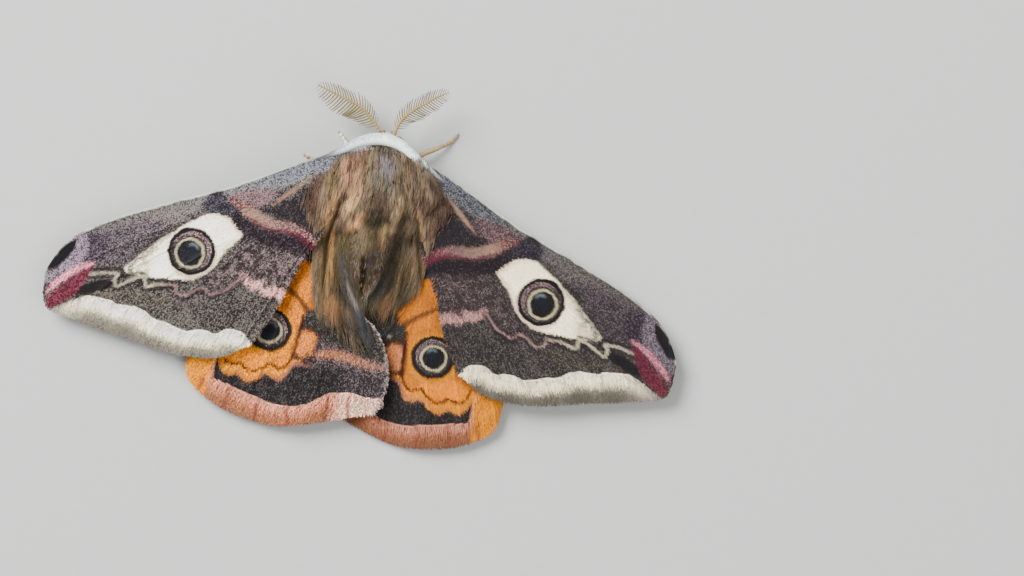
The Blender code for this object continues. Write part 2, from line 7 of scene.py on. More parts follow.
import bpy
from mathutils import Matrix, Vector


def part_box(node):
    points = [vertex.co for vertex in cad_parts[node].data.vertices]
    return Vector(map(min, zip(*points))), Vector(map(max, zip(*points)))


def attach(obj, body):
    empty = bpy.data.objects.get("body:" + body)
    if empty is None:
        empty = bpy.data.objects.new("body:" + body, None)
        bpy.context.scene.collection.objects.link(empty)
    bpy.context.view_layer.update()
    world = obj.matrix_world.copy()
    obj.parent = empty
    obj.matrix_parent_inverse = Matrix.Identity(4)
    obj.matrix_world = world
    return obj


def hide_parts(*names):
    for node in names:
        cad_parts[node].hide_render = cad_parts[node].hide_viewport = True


bl_info = {
    "name": "Emperor moth",
    "version": (1, 0, 0),
    "blender": (4, 5, 0),
    "location": "3D View > Sidebar > Moth",
    "description": "Scaled wings, furred body, feathered antennae, legs and stage of a museum moth",
    "category": "Object",
}

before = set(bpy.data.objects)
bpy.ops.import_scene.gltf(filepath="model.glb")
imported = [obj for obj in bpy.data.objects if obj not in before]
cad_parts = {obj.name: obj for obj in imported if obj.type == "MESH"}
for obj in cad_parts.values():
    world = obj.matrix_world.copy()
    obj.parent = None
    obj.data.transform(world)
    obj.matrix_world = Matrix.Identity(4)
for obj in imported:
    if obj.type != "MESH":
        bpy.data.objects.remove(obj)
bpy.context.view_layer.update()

import math

import bmesh
import bpy
import numpy as np
from mathutils import Vector
from mathutils.bvhtree import BVHTree

MM = 0.001
EYE_MIDDLE_Y = 4.87  # where the eyes sit in the moth's own frame


def moth_origin():
    """Place of the moth's own origin in the row's frame, read from the two eyes."""
    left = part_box("eye_left")
    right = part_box("eye_right")
    middle_x = (left[0].x + right[1].x) / 2
    middle_y = (left[0].y + left[1].y) / 2
    return np.array((middle_x, middle_y - EYE_MIDDLE_Y * MM, 0.0))


ORIGIN = moth_origin()


def placed(points):
    """Points in millimetres in the moth's frame, as metres in the row's frame."""
    return np.asarray(points, float) * MM + ORIGIN


# Screen levels and how bright a lit surface must be to show them, with the tone curve's mixing of channels.
SCREEN_LEVELS = (0, 3, 9, 19, 32, 46, 58, 71, 87, 104, 123, 142, 160, 178, 188, 197, 207, 217, 227, 237, 255)
LIT_LEVELS = (0.0, 0.002, 0.005, 0.01, 0.02, 0.035, 0.05, 0.07, 0.1, 0.14, 0.2, 0.28, 0.4, 0.6, 0.8, 1.0,
              1.4, 2.0, 3.0, 5.0, 12.0)
LIT_MIX = np.array([(0.7763, 0.1661, 0.0576), (0.0554, 0.8404, 0.1042), (0.0174, 0.1951, 0.7875)])
SCREEN_MIX = np.array([(0.8276, 0.1305, 0.0419), (0.0478, 0.9437, 0.0085), (0.0435, 0.2263, 0.7302)])
LIT_WHITE = 2.8  # how bright a white surface is under the studio's light
WHITEST = 0.92
DARKEST = 0.003


def colour(red, green, blue):
    """Surface colour that shows as a screen colour, given from 0 to 255, under the studio's light."""
    screen = np.array((red, green, blue), float)
    while True:
        lit = np.interp(SCREEN_MIX @ screen, SCREEN_LEVELS, LIT_LEVELS)
        shade = np.maximum(np.linalg.solve(LIT_MIX, lit) / LIT_WHITE, DARKEST)
        if shade.max() <= WHITEST:
            return shade
        screen *= 0.98


def fade(value, low, high):
    """Smooth step from 0 at low to 1 at high."""
    t = np.clip((value - low) / (high - low), 0.0, 1.0)
    return t * t * (3 - 2 * t)


def curve(points, t):
    """Points at t, from 0 to 1 by chord length, on a smooth curve through the given points."""
    knots = np.asarray(points, float)
    run = np.concatenate(([0.0], np.cumsum(np.linalg.norm(np.diff(knots, axis=0), axis=1))))
    target = np.clip(np.asarray(t, float), 0.0, 1.0) * run[-1]
    index = np.clip(np.searchsorted(run, target, side="right") - 1, 0, len(knots) - 2)
    chord = (run[index + 1] - run[index])[..., None]
    local = (target - run[index])[..., None] / chord
    before = np.maximum(np.arange(len(knots)) - 1, 0)
    after = np.minimum(np.arange(len(knots)) + 1, len(knots) - 1)
    slopes = (knots[after] - knots[before]) / (run[after] - run[before])[:, None]
    square = local ** 2
    cube = local ** 3
    return (knots[index] * (2 * cube - 3 * square + 1) + slopes[index] * chord * (cube - 2 * square + local)
            + knots[index + 1] * (3 * square - 2 * cube) + slopes[index + 1] * chord * (cube - square))


def along_path(xy, line, reach):
    """Distance of each point from a line and its place along it, with points past reach left at infinity."""
    distance = np.full(len(xy), np.inf)
    place = np.zeros(len(xy))
    near = np.flatnonzero(np.all((xy > line.min(0) - reach) & (xy < line.max(0) + reach), axis=1))
    points = xy[near]
    best = np.full(len(near), np.inf)
    spot = np.zeros(len(near))
    lengths = np.linalg.norm(np.diff(line, axis=0), axis=1)
    run = np.concatenate(([0.0], np.cumsum(lengths)))
    for start, end, length, passed in zip(line, line[1:], lengths, run):
        step = (end - start) / length
        t = np.clip((points - start) @ step, 0.0, length)
        gap = np.hypot(points[:, 0] - start[0] - t * step[0], points[:, 1] - start[1] - t * step[1])
        closer = gap < best
        best[closer] = gap[closer]
        spot[closer] = (passed + t[closer]) / run[-1]
    distance[near] = best
    place[near] = spot
    return distance, place


def inside_depth(xy, outline, reach=1.0):
    """How deep each point lies inside a closed smooth outline, negative outside it."""
    ring = np.vstack((outline, outline[:1]))
    line = curve(ring, np.linspace(0, 1, 8 * len(ring)))
    distance, _ = along_path(xy, line, reach)
    x, y = xy[:, 0], xy[:, 1]
    inside = np.zeros(len(xy), bool)
    for (ax, ay), (bx, by) in zip(line, line[1:]):
        if ay == by:
            continue
        crosses = ((ay > y) != (by > y)) & (x < (bx - ax) * (y - ay) / (by - ay) + ax)
        inside ^= crosses
    return np.where(inside, distance, -distance)


def grain(xy, size, seed):
    """Smooth noise from 0 to 1 that varies over the given size."""
    cell = xy / size
    base = np.floor(cell).astype(np.int64)
    part = cell - base
    part = part * part * (3 - 2 * part)

    def corner(dx, dy):
        """Random value of each cell's corner, the same every time."""
        mix = (base[:, 0] + dx) * 374761393 + (base[:, 1] + dy) * 668265263 + seed * 2147483647
        mix = (mix ^ (mix >> 13)) * 1274126177
        return ((mix ^ (mix >> 16)) & 0xFFFF) / 0xFFFF

    low = corner(0, 0) * (1 - part[:, 0]) + corner(1, 0) * part[:, 0]
    high = corner(0, 1) * (1 - part[:, 0]) + corner(1, 1) * part[:, 0]
    return low * (1 - part[:, 1]) + high * part[:, 1]


def wobble(xy, amount, size, seed):
    """Points pushed about by smooth noise, so that no painted edge is a clean line."""
    shift = np.column_stack((grain(xy, size, seed), grain(xy, size, seed + 1))) - 0.5
    return xy + 2 * amount * shift


# Wings: plan outlines of the right wings and the height of their middle surfaces, as in the solids.
HINGE_XY = (3.0, 1.0)
HINGE_Z = 5.0
MARGIN_Z = 1.8
WING_REACH = 31.0
WING_SLOPE = 1.2
HINDWING_DROP = 1.1
HINDWING_PIVOT = np.array((3.5, -2.5))
LEFT_SWING = math.radians(4.8)
OVERLAP_LIFT = 0.53
OVERLAP_X = (4.9, 7.8)
OVERLAP_Y = (-12.0, -5.5)

FOREWING = {
    "costa": [(2.9, 3.4), (4.4, 3.35), (6.6, 2.35), (9.0, 1.1), (15.0, -1.95), (21.0, -4.4), (27.0, -7.2),
              (30.3, -9.7), (32.3, -13.4)],
    "margin": [(32.3, -13.4), (31.6, -16.6), (29.0, -17.5), (24.0, -18.4), (18.0, -19.4), (13.4, -19.0),
               (10.7, -17.1)],
    "inner": [(3.3, -0.8), (5.6, -6.0), (7.2, -9.2), (8.8, -13.5), (10.7, -17.1)],
    "veins": [(0.008, 0.0), (0.13, 0.4), (0.27, 0.42), (0.41, 0.42), (0.55, 0.36), (0.7, 0.25), (0.93, 0.0)],
    "bare": 4.0,
    "bare_edge": 0.026,
    "left_sheen_flecks": 1.6,  # the left wing carries this many times the right one's pale flecks, painted sheen of the left wings catching more light
}
HINDWING = {
    "costa": [(3.4, -1.0), (7.5, -5.0), (12.0, -11.5), (14.8, -17.0), (15.5, -19.8)],
    "margin": [(15.5, -19.8), (14.8, -22.6), (12.0, -24.4), (9.0, -25.2), (5.5, -25.4), (2.5, -24.6),
               (-1.0, -23.2), (-4.1, -21.9)],
    "inner": [(3.2, -2.7), (2.9, -5.0), (2.8, -8.0), (1.9, -10.8), (-0.6, -12.2), (-2.6, -13.5),
              (-4.2, -16.0), (-4.8, -18.9), (-4.1, -21.9)],
    "veins": [(0.1, 0.0), (0.26, 0.4), (0.4, 0.4), (0.54, 0.36), (0.68, 0.25), (0.87, 0.0)],
    "bare": -1.0,
    "bare_edge": 0.0,
    "left_sheen_flecks": 1.15,
}


def wing_height(x, y):
    """Height of the forewing's middle surface, high at the hinge and low at the margin."""
    reach = np.hypot(np.abs(x) - HINGE_XY[0], y - HINGE_XY[1])
    left_over = np.maximum(1 - reach / WING_REACH, 0.0)
    return MARGIN_Z + (HINGE_Z - MARGIN_Z) * left_over ** WING_SLOPE


def hindwing_height(x, y, side):
    """Below the forewing, with the left wing lying over the right one behind the body."""
    crossing = (1 - fade(np.abs(x), *OVERLAP_X)) * (1 - fade(y, *OVERLAP_Y))
    return wing_height(x, y) - HINDWING_DROP - side * OVERLAP_LIFT * crossing


def swing(xy, angle):
    """Turn plan points about the hindwing's pivot, outwards for a positive angle."""
    sine, cosine = math.sin(angle), math.cos(angle)
    x, y = (np.asarray(xy, float) - HINDWING_PIVOT).T
    return np.column_stack((x * cosine - y * sine, x * sine + y * cosine)) + HINDWING_PIVOT


def wing_plan(wing, u, v):
    """Plan points of a wing: u from hinge to margin, v from the leading to the trailing edge."""
    costa, margin, inner = (wing[name] for name in ("costa", "margin", "inner"))
    hinge = [costa[0], inner[0]]
    u, v = u[..., None], v[..., None]
    corners = ((1 - u) * (1 - v) * np.array(costa[0]) + (1 - u) * v * np.array(inner[0])
               + u * (1 - v) * np.array(margin[0]) + u * v * np.array(margin[-1]))
    return ((1 - v) * curve(costa, u[..., 0]) + v * curve(inner, u[..., 0])
            + (1 - u) * curve(hinge, v[..., 0]) + u * curve(margin, v[..., 0]) - corners)


class Paint:
    """Colours of the scales at many plan points: the ground scales, paler flecks among them, their share."""

    def __init__(self, xy, ground, flecks, share):
        self.xy = xy
        self.ground = np.tile(colour(*ground), (len(xy), 1))
        self.flecks = np.tile(colour(*flecks), (len(xy), 1))
        self.share = np.full(len(xy), float(share))
        self.fine = np.zeros(len(xy))

    def lay(self, mask, ground, flecks=None, share=0.0):
        """Cover what is there by the mask; ground and flecks are one colour or one for each point."""
        mask = np.clip(mask, 0.0, 1.0)
        ground = colour(*ground) if isinstance(ground, tuple) else ground
        if flecks is None:
            flecks = ground
        elif isinstance(flecks, tuple):
            flecks = colour(*flecks)
        self.ground += (ground - self.ground) * mask[:, None]
        self.flecks += (flecks - self.flecks) * mask[:, None]
        self.share += (share - self.share) * mask

    def fill(self, outline, soft, ground, flecks=None, share=0.0, strength=1.0):
        """Colour the inside of a closed outline."""
        self.lay(self.patch(outline, soft) * strength, ground, flecks, share)

    def stroke(self, path, half_widths, soft, ground, flecks=None, share=0.0, strength=1.0):
        """Colour a band along a path, its half width read along it, as a list of stops is."""
        line = curve(path, np.linspace(0, 1, 8 * len(path)))
        distance, place = along_path(self.xy, line, max(half_widths) + 3 * soft)
        half = np.interp(place, np.linspace(0, 1, len(half_widths)), half_widths)
        mask = 1 - fade(distance, half - soft, half + soft)
        ground, flecks = (ramp(place, tint) if isinstance(tint, list) else tint for tint in (ground, flecks))
        self.lay(mask * strength, ground, flecks, share)

    def creases(self, ends, strength, tint):
        """Thin straight lines, each from one point to another."""
        for start, end in ends:
            gap, _ = along_path(self.xy, curve([start, end], np.linspace(0, 1, 3)), 0.6)
            self.lay(strength * (1 - fade(gap, 0.05, 0.3)), tint)

    def edging(self, front, rest, reach):
        """Mask of the area behind a front line, closed by the rest, and each point's depth in it."""
        behind = inside_depth(self.xy, np.vstack((front, rest)), 0.5)
        depth, _ = along_path(self.xy, curve(front, np.linspace(0, 1, 6 * len(front))), reach)
        return fade(behind, -0.08, 0.1), np.where(np.isfinite(depth), depth, reach)

    def patch(self, outline, soft=0.1):
        """Mask of the inside of a closed outline."""
        return fade(inside_depth(self.xy, np.array(outline)), -soft, soft)

    def disc(self, centre, radius, soft=0.06):
        away = np.hypot(self.xy[:, 0] - centre[0], self.xy[:, 1] - centre[1])
        return 1 - fade(away, radius - soft, radius + soft)

    def ring(self, centre, radius, half_width, soft=0.06):
        away = np.abs(np.hypot(self.xy[:, 0] - centre[0], self.xy[:, 1] - centre[1]) - radius)
        return 1 - fade(away, half_width - soft, half_width + soft)

    def side_of(self, centre, direction, low=-0.3, high=0.6):
        """Mask that grows towards one side of a centre."""
        away = self.xy - np.array(centre)
        reach = np.maximum(np.hypot(away[:, 0], away[:, 1]), 1e-6)
        return fade((away @ np.array(direction)) / reach, low, high)


def ramp(place, stops):
    """Colours along a path from stops of a place and a screen colour."""
    places = [stop[0] for stop in stops]
    shades = np.array([colour(*stop[1]) for stop in stops])
    return np.column_stack([np.interp(place, places, shades[:, i]) for i in range(3)])


# The forewing's markings, as lines and outlines on the right wing's plan.
FOREWING_EYE = (17.65, -8.75)
FOREWING_PUPIL = (17.8, -8.95)
CREAM_PATCH = [
    (12.7, -6.4), (13.6, -5.5), (14.8, -4.75), (16.2, -4.75), (17.4, -5.4), (18.7, -6.3), (20.2, -7.5),
    (21.7, -8.9), (23.1, -10.4), (23.9, -11.4), (22.3, -11.75), (20.4, -11.75), (18.6, -11.6),
    (16.9, -11.3), (15.3, -10.0), (14.3, -8.3), (13.4, -7.2),
]
ZIGZAG = [
    (11.9, -10.2), (12.6, -10.9), (13.4, -11.8), (14.4, -12.35), (15.2, -12.6), (15.9, -12.1),
    (16.6, -12.35), (17.2, -12.9), (18.0, -13.15), (18.5, -12.9), (18.6, -12.3), (19.3, -12.25),
    (20.5, -12.45), (21.6, -12.75), (21.8, -12.25), (22.0, -11.9), (22.9, -12.2), (23.8, -12.75),
    (24.6, -13.1), (24.75, -12.5), (24.5, -11.95), (25.6, -12.0), (26.8, -12.25), (27.9, -12.5),
]
ZIGZAG_SHADOW = [
    (17.6, -11.9), (18.4, -11.8), (19.6, -11.85), (21.3, -12.0), (21.6, -11.55), (22.4, -11.5),
    (23.4, -11.8), (24.3, -12.2), (24.0, -11.5), (25.3, -11.6), (26.9, -11.85), (27.8, -12.0),
]
BLOTCHES = [(7.9, -12.0), (8.7, -11.4), (9.6, -11.6), (10.3, -10.9), (11.1, -11.1), (12.1, -10.4)]
ANTEMEDIAL = [
    (5.4, -6.2), (6.6, -5.3), (8.0, -4.85), (9.6, -4.85), (11.0, -4.55), (12.2, -4.0), (13.3, -3.4),
    (14.3, -3.0),
]
ANTEMEDIAL_EDGE = [
    (5.4, -7.2), (7.0, -6.7), (9.0, -6.4), (11.2, -6.1), (13.0, -5.3), (14.3, -4.4), (15.8, -3.3),
]
BASAL_FIELD = [
    (5.0, -0.3), (6.6, -0.7), (8.2, -1.9), (10.2, -3.1), (11.4, -3.4), (9.6, -4.1), (7.4, -4.5),
    (5.6, -5.3), (4.6, -3.0),
]
CRIMSON_WEDGE = [
    (27.0, -11.6), (27.9, -11.9), (29.4, -13.3), (31.2, -15.0), (32.0, -16.4), (30.9, -16.2), (29.5, -15.4),
    (28.6, -14.6), (27.9, -13.4),
]
APEX_PALE = [
    (28.2, -8.4), (29.4, -8.7), (30.2, -10.2), (31.2, -12.0), (32.2, -13.6), (31.2, -13.7), (29.6, -12.4),
    (28.3, -11.3), (27.9, -9.9),
]
APEX_SPOT = [
    (29.3, -9.3), (30.2, -9.8), (31.3, -11.2), (31.9, -12.6), (31.0, -12.3), (30.1, -11.2), (29.4, -10.2),
]
BLACK_WEDGE = [
    (25.0, -12.5), (26.4, -12.85), (27.8, -13.5), (28.7, -14.5), (27.6, -14.4), (26.2, -13.9),
    (25.1, -13.3),
]
PURPLE_TINT = [
    (20.4, -6.2), (23.0, -6.4), (26.6, -8.0), (28.2, -9.0), (28.2, -10.9), (26.4, -11.4), (24.2, -10.8),
    (22.2, -8.6),
]
FRINGE_TOP = [
    (9.2, -18.2), (10.4, -17.1), (11.3, -16.25), (12.5, -15.95), (13.5, -16.2), (14.0, -16.6),
    (15.4, -16.45), (17.2, -16.75), (17.8, -16.7), (19.3, -16.2), (20.6, -16.0), (21.3, -15.5),
    (22.6, -15.1), (24.2, -15.1), (25.0, -14.85), (26.4, -14.7), (27.6, -14.75), (28.3, -15.1),
    (29.4, -15.6), (30.4, -16.1), (31.3, -16.5), (33.5, -17.0),
]
FRINGE_NOTCHES = [(13.9, -16.5), (17.5, -16.8), (20.9, -15.9), (24.6, -15.0), (28.0, -14.9)]

EYE_BLACK = (26, 22, 24)
PATCH_CREAM = (236, 232, 220)
RING_CREAM = (190, 184, 164)
CRESCENT_LILAC = (158, 136, 138)


def paint_eyespot(paint, centre, pupil, radius, lilac_side, ground):
    """Black ring, lilac crescent, cream ring and black pupil with its cool highlight."""
    paint.fine = np.maximum(paint.fine, paint.disc(centre, radius * 1.1, 0.2))
    paint.lay(paint.disc(centre, radius), EYE_BLACK)
    paint.lay(paint.disc(centre, radius * 0.83), ground, CRESCENT_LILAC, 0.08)
    for size, strength in ((0.8, 1.0), (0.7, 0.8)):
        crescent = paint.ring(centre, radius * size, radius * 0.02, 0.035) * paint.side_of(centre, lilac_side)
        paint.lay(crescent * strength, CRESCENT_LILAC, (190, 172, 174), 0.2)
    paint.lay(paint.ring(pupil, radius * 0.665, radius * 0.03), (44, 36, 36))
    paint.lay(paint.disc(pupil, radius * 0.635), RING_CREAM)
    paint.lay(paint.disc(pupil, radius * 0.535), EYE_BLACK, (34, 38, 44), 0.2)
    glint = (pupil[0] - 0.08 * radius, pupil[1] + 0.16 * radius)
    shine = paint.ring(glint, radius * 0.22, radius * 0.07, 0.12)
    paint.lay(shine * paint.side_of(glint, (-0.3, 0.95), 0.1, 0.9), (122, 130, 138))
    paint.lay(paint.disc((glint[0] + 0.06, glint[1] - 0.1), radius * 0.2, 0.2), (26, 32, 42))


def paint_forewing(plan, side):
    """Scale colours of the forewing at points of the right wing's plan."""
    plan = wobble(plan, 0.07, 0.5, 3)
    cloud = grain(plan, 1.6, 11)
    mottle = grain(plan, 0.45, 23)
    paint = Paint(plan, (55, 48, 47), (118, 109, 106), 0.15)
    paint.lay(0.6 * fade(cloud, 0.5, 0.75), (64, 56, 53), (126, 115, 111), 0.2)
    paint.lay(0.5 * fade(cloud, 0.45, 0.2), (48, 41, 43), (108, 98, 98), 0.1)

    # Grey costa with its pale front edge, brownest near the middle of the wing.
    paint.stroke(FOREWING["costa"], [2.0, 1.9, 1.55, 1.5, 1.3, 1.1, 0.8], 0.25,
                 [(0.0, (74, 74, 79)), (0.25, (76, 72, 75)), (0.5, (82, 76, 74)), (0.8, (74, 67, 66))],
                 [(0.0, (148, 150, 155)), (0.3, (142, 138, 140)), (0.6, (127, 120, 116)),
                  (1.0, (118, 111, 108))], 0.32)
    paint.stroke([(4.2, 3.3), (6.6, 2.0), (9.4, 0.3), (12.0, -0.9)], [1.1, 1.0, 0.8, 0.4], 0.3,
                 (70, 71, 76), (140, 142, 148), 0.28, 0.85)
    paint.stroke(FOREWING["costa"], [0.15, 0.17, 0.18, 0.17, 0.16, 0.16, 0.14], 0.06,
                 [(0.0, (166, 168, 170)), (0.3, (194, 196, 189)), (1.0, (184, 183, 176))])
    paint.fill([(16.8, -3.9), (20.5, -5.0), (24.6, -6.6), (23.6, -7.6), (21.0, -6.9), (18.6, -5.7)], 0.4,
               (84, 76, 74), (142, 133, 126), 0.3, 0.7)

    # Basal field, with red-brown fuzz at the wing's root and one stripe of tan hair.
    paint.fill([(9.6, -1.4), (12.0, -1.6), (14.6, -2.6), (13.0, -3.2), (11.2, -3.3)], 0.3,
               (84, 64, 64), (150, 122, 120), 0.3)
    paint.fill(BASAL_FIELD, 0.3, (42, 36, 40), (84, 72, 72), 0.08)
    paint.fill([(4.0, 1.0), (5.6, 0.6), (6.4, -0.6), (6.0, -2.4), (5.3, -4.4), (4.2, -2.0)], 0.3,
               (78, 54, 48), (120, 90, 74), 0.25)
    paint.stroke([(5.7, 1.0), (6.9, 0.15), (8.3, -1.2), (9.3, -2.1), (10.0, -2.8)],
                 [0.1, 0.18, 0.22, 0.2, 0.1], 0.14,
                 [(0.0, (136, 122, 106)), (0.4, (170, 152, 130)), (0.8, (176, 146, 128)),
                  (1.0, (140, 104, 96))], strength=0.85)

    # Dark field behind the antemedial band, and the band itself, crimson at both ends.
    paint.stroke(ANTEMEDIAL_EDGE, [0.75, 0.85, 0.8, 0.7, 0.75, 0.9, 0.8], 0.25,
                 (38, 31, 36), (84, 72, 77), 0.07)
    paint.fill([(13.6, -2.9), (15.4, -2.7), (17.0, -3.5), (16.6, -4.5), (15.0, -4.6), (13.8, -4.9)], 0.25,
               (44, 40, 48), (96, 90, 100), 0.12)
    paint.stroke(ANTEMEDIAL, [0.3, 0.44, 0.54, 0.52, 0.52, 0.62, 0.52, 0.3], 0.16,
                 [(0.0, (98, 38, 48)), (0.16, (118, 58, 66)), (0.3, (136, 98, 94)), (0.5, (150, 120, 108)),
                  (0.72, (172, 146, 124)), (0.85, (130, 86, 82)), (1.0, (92, 48, 54))], (170, 142, 128), 0.14)
    paint.stroke([(x + 0.15, y - 0.5) for x, y in ANTEMEDIAL[:6]], [0.25, 0.25, 0.16, 0.14, 0.14, 0.1], 0.12,
                 (112, 46, 58), strength=0.85)

    # Median field, speckled pink and grey.
    paint.fill([(6.4, -7.4), (9.0, -7.2), (12.0, -7.0), (13.2, -8.4), (14.6, -10.0), (15.6, -11.6),
                (13.6, -11.4), (12.0, -10.2), (10.0, -10.8), (8.2, -11.2), (7.0, -9.6)], 0.35,
               (62, 52, 52), (136, 117, 114), 0.22 * fade(mottle, 0.2, 0.8) + 0.04)

    # Cream patch, greyer towards the apex, and the eyespot on it.
    cream = paint.patch(CREAM_PATCH, 0.13)
    greyer = np.maximum(fade(plan[:, 0] * 0.8 + plan[:, 1] * 0.6, 10.6, 12.0), fade(plan[:, 0], 20.6, 22.6))
    paint.lay(cream, PATCH_CREAM, (240, 236, 226), 0.3)
    paint.lay(cream * greyer * (0.55 + 0.45 * fade(mottle, 0.3, 0.7)), (116, 108, 100), (180, 173, 160), 0.2)
    tan_edge = 1 - fade(inside_depth(plan, np.array(CREAM_PATCH)), 0.15, 0.6)
    paint.lay(cream * tan_edge * 0.5 * fade(plan[:, 0], 18.0, 13.0), (206, 184, 166))
    rim = paint.ring(FOREWING_EYE, 2.56, 0.1) * paint.side_of(FOREWING_EYE, (-0.6, -0.8), -0.1, 0.5)
    paint.lay(rim, (208, 196, 184))
    paint_eyespot(paint, FOREWING_EYE, FOREWING_PUPIL, 2.42, (-0.75, 0.65), (64, 54, 52))

    # Submarginal field, the zigzag line above it and the blotches that carry it to the rear edge.
    paint.fill([(8.6, -12.6), (11.0, -11.4), (12.4, -11.2), (14.4, -12.6), (18.0, -13.4), (22.0, -12.8),
                (25.4, -13.2), (28.6, -14.6), (30.6, -16.6), (24.0, -17.0), (12.0, -18.0), (9.4, -16.6),
                (8.8, -14.6)], 0.3, (52, 46, 45), (116, 108, 102), 0.15 + 0.1 * fade(cloud, 0.3, 0.8))
    paint.fill([(19.0, -13.0), (22.6, -13.2), (26.0, -13.6), (27.2, -14.6), (23.0, -14.6), (19.4, -14.6)],
               0.5, (60, 54, 47), (120, 110, 94), 0.24, 0.55)
    paint.stroke(BLOTCHES, [0.45, 0.5, 0.42, 0.5, 0.4, 0.32], 0.22, (164, 130, 126), (202, 176, 168), 0.3,
                 fade(mottle + 0.25, 0.3, 0.6))
    paint.stroke(ZIGZAG_SHADOW, [0.12, 0.14, 0.1, 0.12, 0.1], 0.07, (44, 38, 38), strength=0.85)
    paint.stroke([(x + 0.05, y - 0.32) for x, y in ZIGZAG], [0.16, 0.2, 0.18], 0.12, (42, 37, 40),
                 strength=0.6)
    paint.stroke(ZIGZAG, [0.11, 0.12, 0.12, 0.13, 0.13, 0.12], 0.05,
                 [(0.0, (156, 126, 122)), (0.3, (162, 136, 130)), (0.45, (174, 154, 144)),
                  (0.55, (188, 182, 164)), (0.85, (186, 180, 166)), (1.0, (174, 164, 156))])

    # Apex: purple tint, dark patch, lilac-white area, black spot and wedge, crimson wedge and pink stripe.
    paint.fill(PURPLE_TINT, 0.6, (62, 53, 57), (122, 108, 116), 0.17, 0.75)
    paint.fill([(26.6, -8.2), (28.3, -8.5), (28.4, -10.8), (27.0, -11.3), (26.0, -10.2)], 0.3,
               (46, 38, 46), (104, 88, 104), 0.15, 0.8)
    paint.fill(APEX_PALE, 0.3, (92, 82, 90), (158, 146, 156), 0.26)
    paint.fill(APEX_SPOT, 0.12, (26, 23, 26))
    paint.fill(BLACK_WEDGE, 0.14, (30, 27, 29))
    within = 1 - fade(plan[:, 0], 31.0, 31.8)
    paint.fill(CRIMSON_WEDGE, 0.16, (100, 36, 46), (136, 64, 72), 0.2, within)
    paint.stroke([(27.2, -11.3), (28.5, -11.9), (29.8, -12.9), (31.3, -14.3), (32.3, -15.6)],
                 [0.2, 0.32, 0.34, 0.28, 0.2], 0.14, (170, 112, 122), (204, 162, 168), 0.3, within)

    # Fringe: bright and dense at its scalloped front edge, thin and grey at the wing's edge; the grey below
    # its rolled front edge is partly painted shade.
    fringe, depth = paint.edging(FRINGE_TOP, [(34.0, -20.0), (26.0, -22.0), (14.0, -22.0), (8.0, -20.5)], 4.0)
    shade = ramp(np.minimum(depth / 3.0, 1.0), [
        (0.0, (238, 235, 226)), (0.16, (230, 226, 214)), (0.32, (202, 197, 182)), (0.46, (162, 157, 141)),
        (0.6, (132, 126, 110)), (1.0, (110, 103, 89))])
    # Painted light: the lower fringe lighter on the left wing and darker on the right one.
    shade = shade * np.where(depth > 1.2, 1.2 if side < 0 else 0.88, 1.0)[:, None]
    tip = fade(plan[:, 0], 26.0, 31.0)[:, None]
    shade = shade * (1 - tip) + colour(150, 141, 130) * tip
    paint.lay(fringe, shade, np.minimum(shade * 1.2, 0.95), 0.3)
    # Darker lines down from the notches at the veins: painted shade between the fringe's lobes.
    paint.creases([((x, y), (x + 0.3, y - 3.0)) for x, y in FRINGE_NOTCHES], fringe * 0.35, (150, 144, 134))
    return paint, fringe


# The hindwing's markings, on the right wing's plan.
HINDWING_EYE = (7.75, -15.75)
ORANGE_FIELD = [
    (4.9, -8.2), (6.6, -8.0), (8.2, -10.0), (9.6, -12.6), (11.2, -15.6), (12.2, -17.8), (12.3, -19.0),
    (11.6, -20.3), (10.9, -20.6), (9.9, -20.1), (9.0, -20.9), (8.2, -20.6), (7.2, -19.7), (6.2, -20.2),
    (5.4, -19.6), (4.8, -18.4), (4.7, -16.4), (4.9, -14.4), (4.0, -12.6), (3.4, -10.4),
]
WAVY_LINE = [
    (4.9, -13.4), (4.75, -15.0), (4.8, -16.6), (4.95, -17.9), (5.4, -18.9), (6.1, -19.15), (6.9, -18.95),
    (7.5, -19.45), (8.3, -20.0), (9.0, -20.05), (9.8, -19.6), (10.4, -19.75), (11.1, -19.8), (11.6, -19.2),
    (12.0, -18.4),
]
SALMON_PATCH = [
    (3.0, -15.3), (3.6, -14.9), (4.5, -15.0), (4.7, -16.2), (4.5, -17.3), (3.9, -17.6), (3.3, -16.9),
]
SCALLOP_LINE = [
    (3.0, -18.3), (4.0, -18.3), (4.7, -18.6), (5.2, -19.6), (5.9, -20.2), (6.8, -20.0), (7.4, -20.0),
    (8.1, -20.7), (9.0, -21.0), (9.7, -20.5), (10.3, -20.6), (11.1, -20.7), (11.7, -20.0), (12.1, -19.2),
]
BLACK_FIELD_TOP = [
    (-5.2, -17.6), (-2.0, -17.7), (1.0, -17.8), (3.2, -18.4), (4.6, -18.7), (5.6, -20.3), (7.2, -20.3),
    (8.8, -21.2), (10.0, -20.8), (11.4, -20.8), (12.3, -19.6), (12.5, -18.9),
]
SALMON_TOP = [
    (-5.6, -19.2), (-4.0, -20.2), (-1.5, -20.2), (0.4, -20.6), (1.6, -21.5), (2.8, -22.4), (4.2, -22.85),
    (6.0, -22.95), (8.0, -22.65), (10.2, -22.2), (12.1, -21.8), (12.3, -20.6), (12.4, -19.3), (12.8, -18.4),
]
SALMON_VEINS = [
    ((-1.6, -20.3), (-2.0, -22.9)), ((0.4, -20.8), (0.2, -23.6)), ((4.1, -23.0), (3.7, -25.2)),
    ((7.2, -23.0), (7.3, -25.4)), ((10.2, -22.4), (10.7, -25.0)), ((12.9, -21.4), (13.6, -23.8)),
]


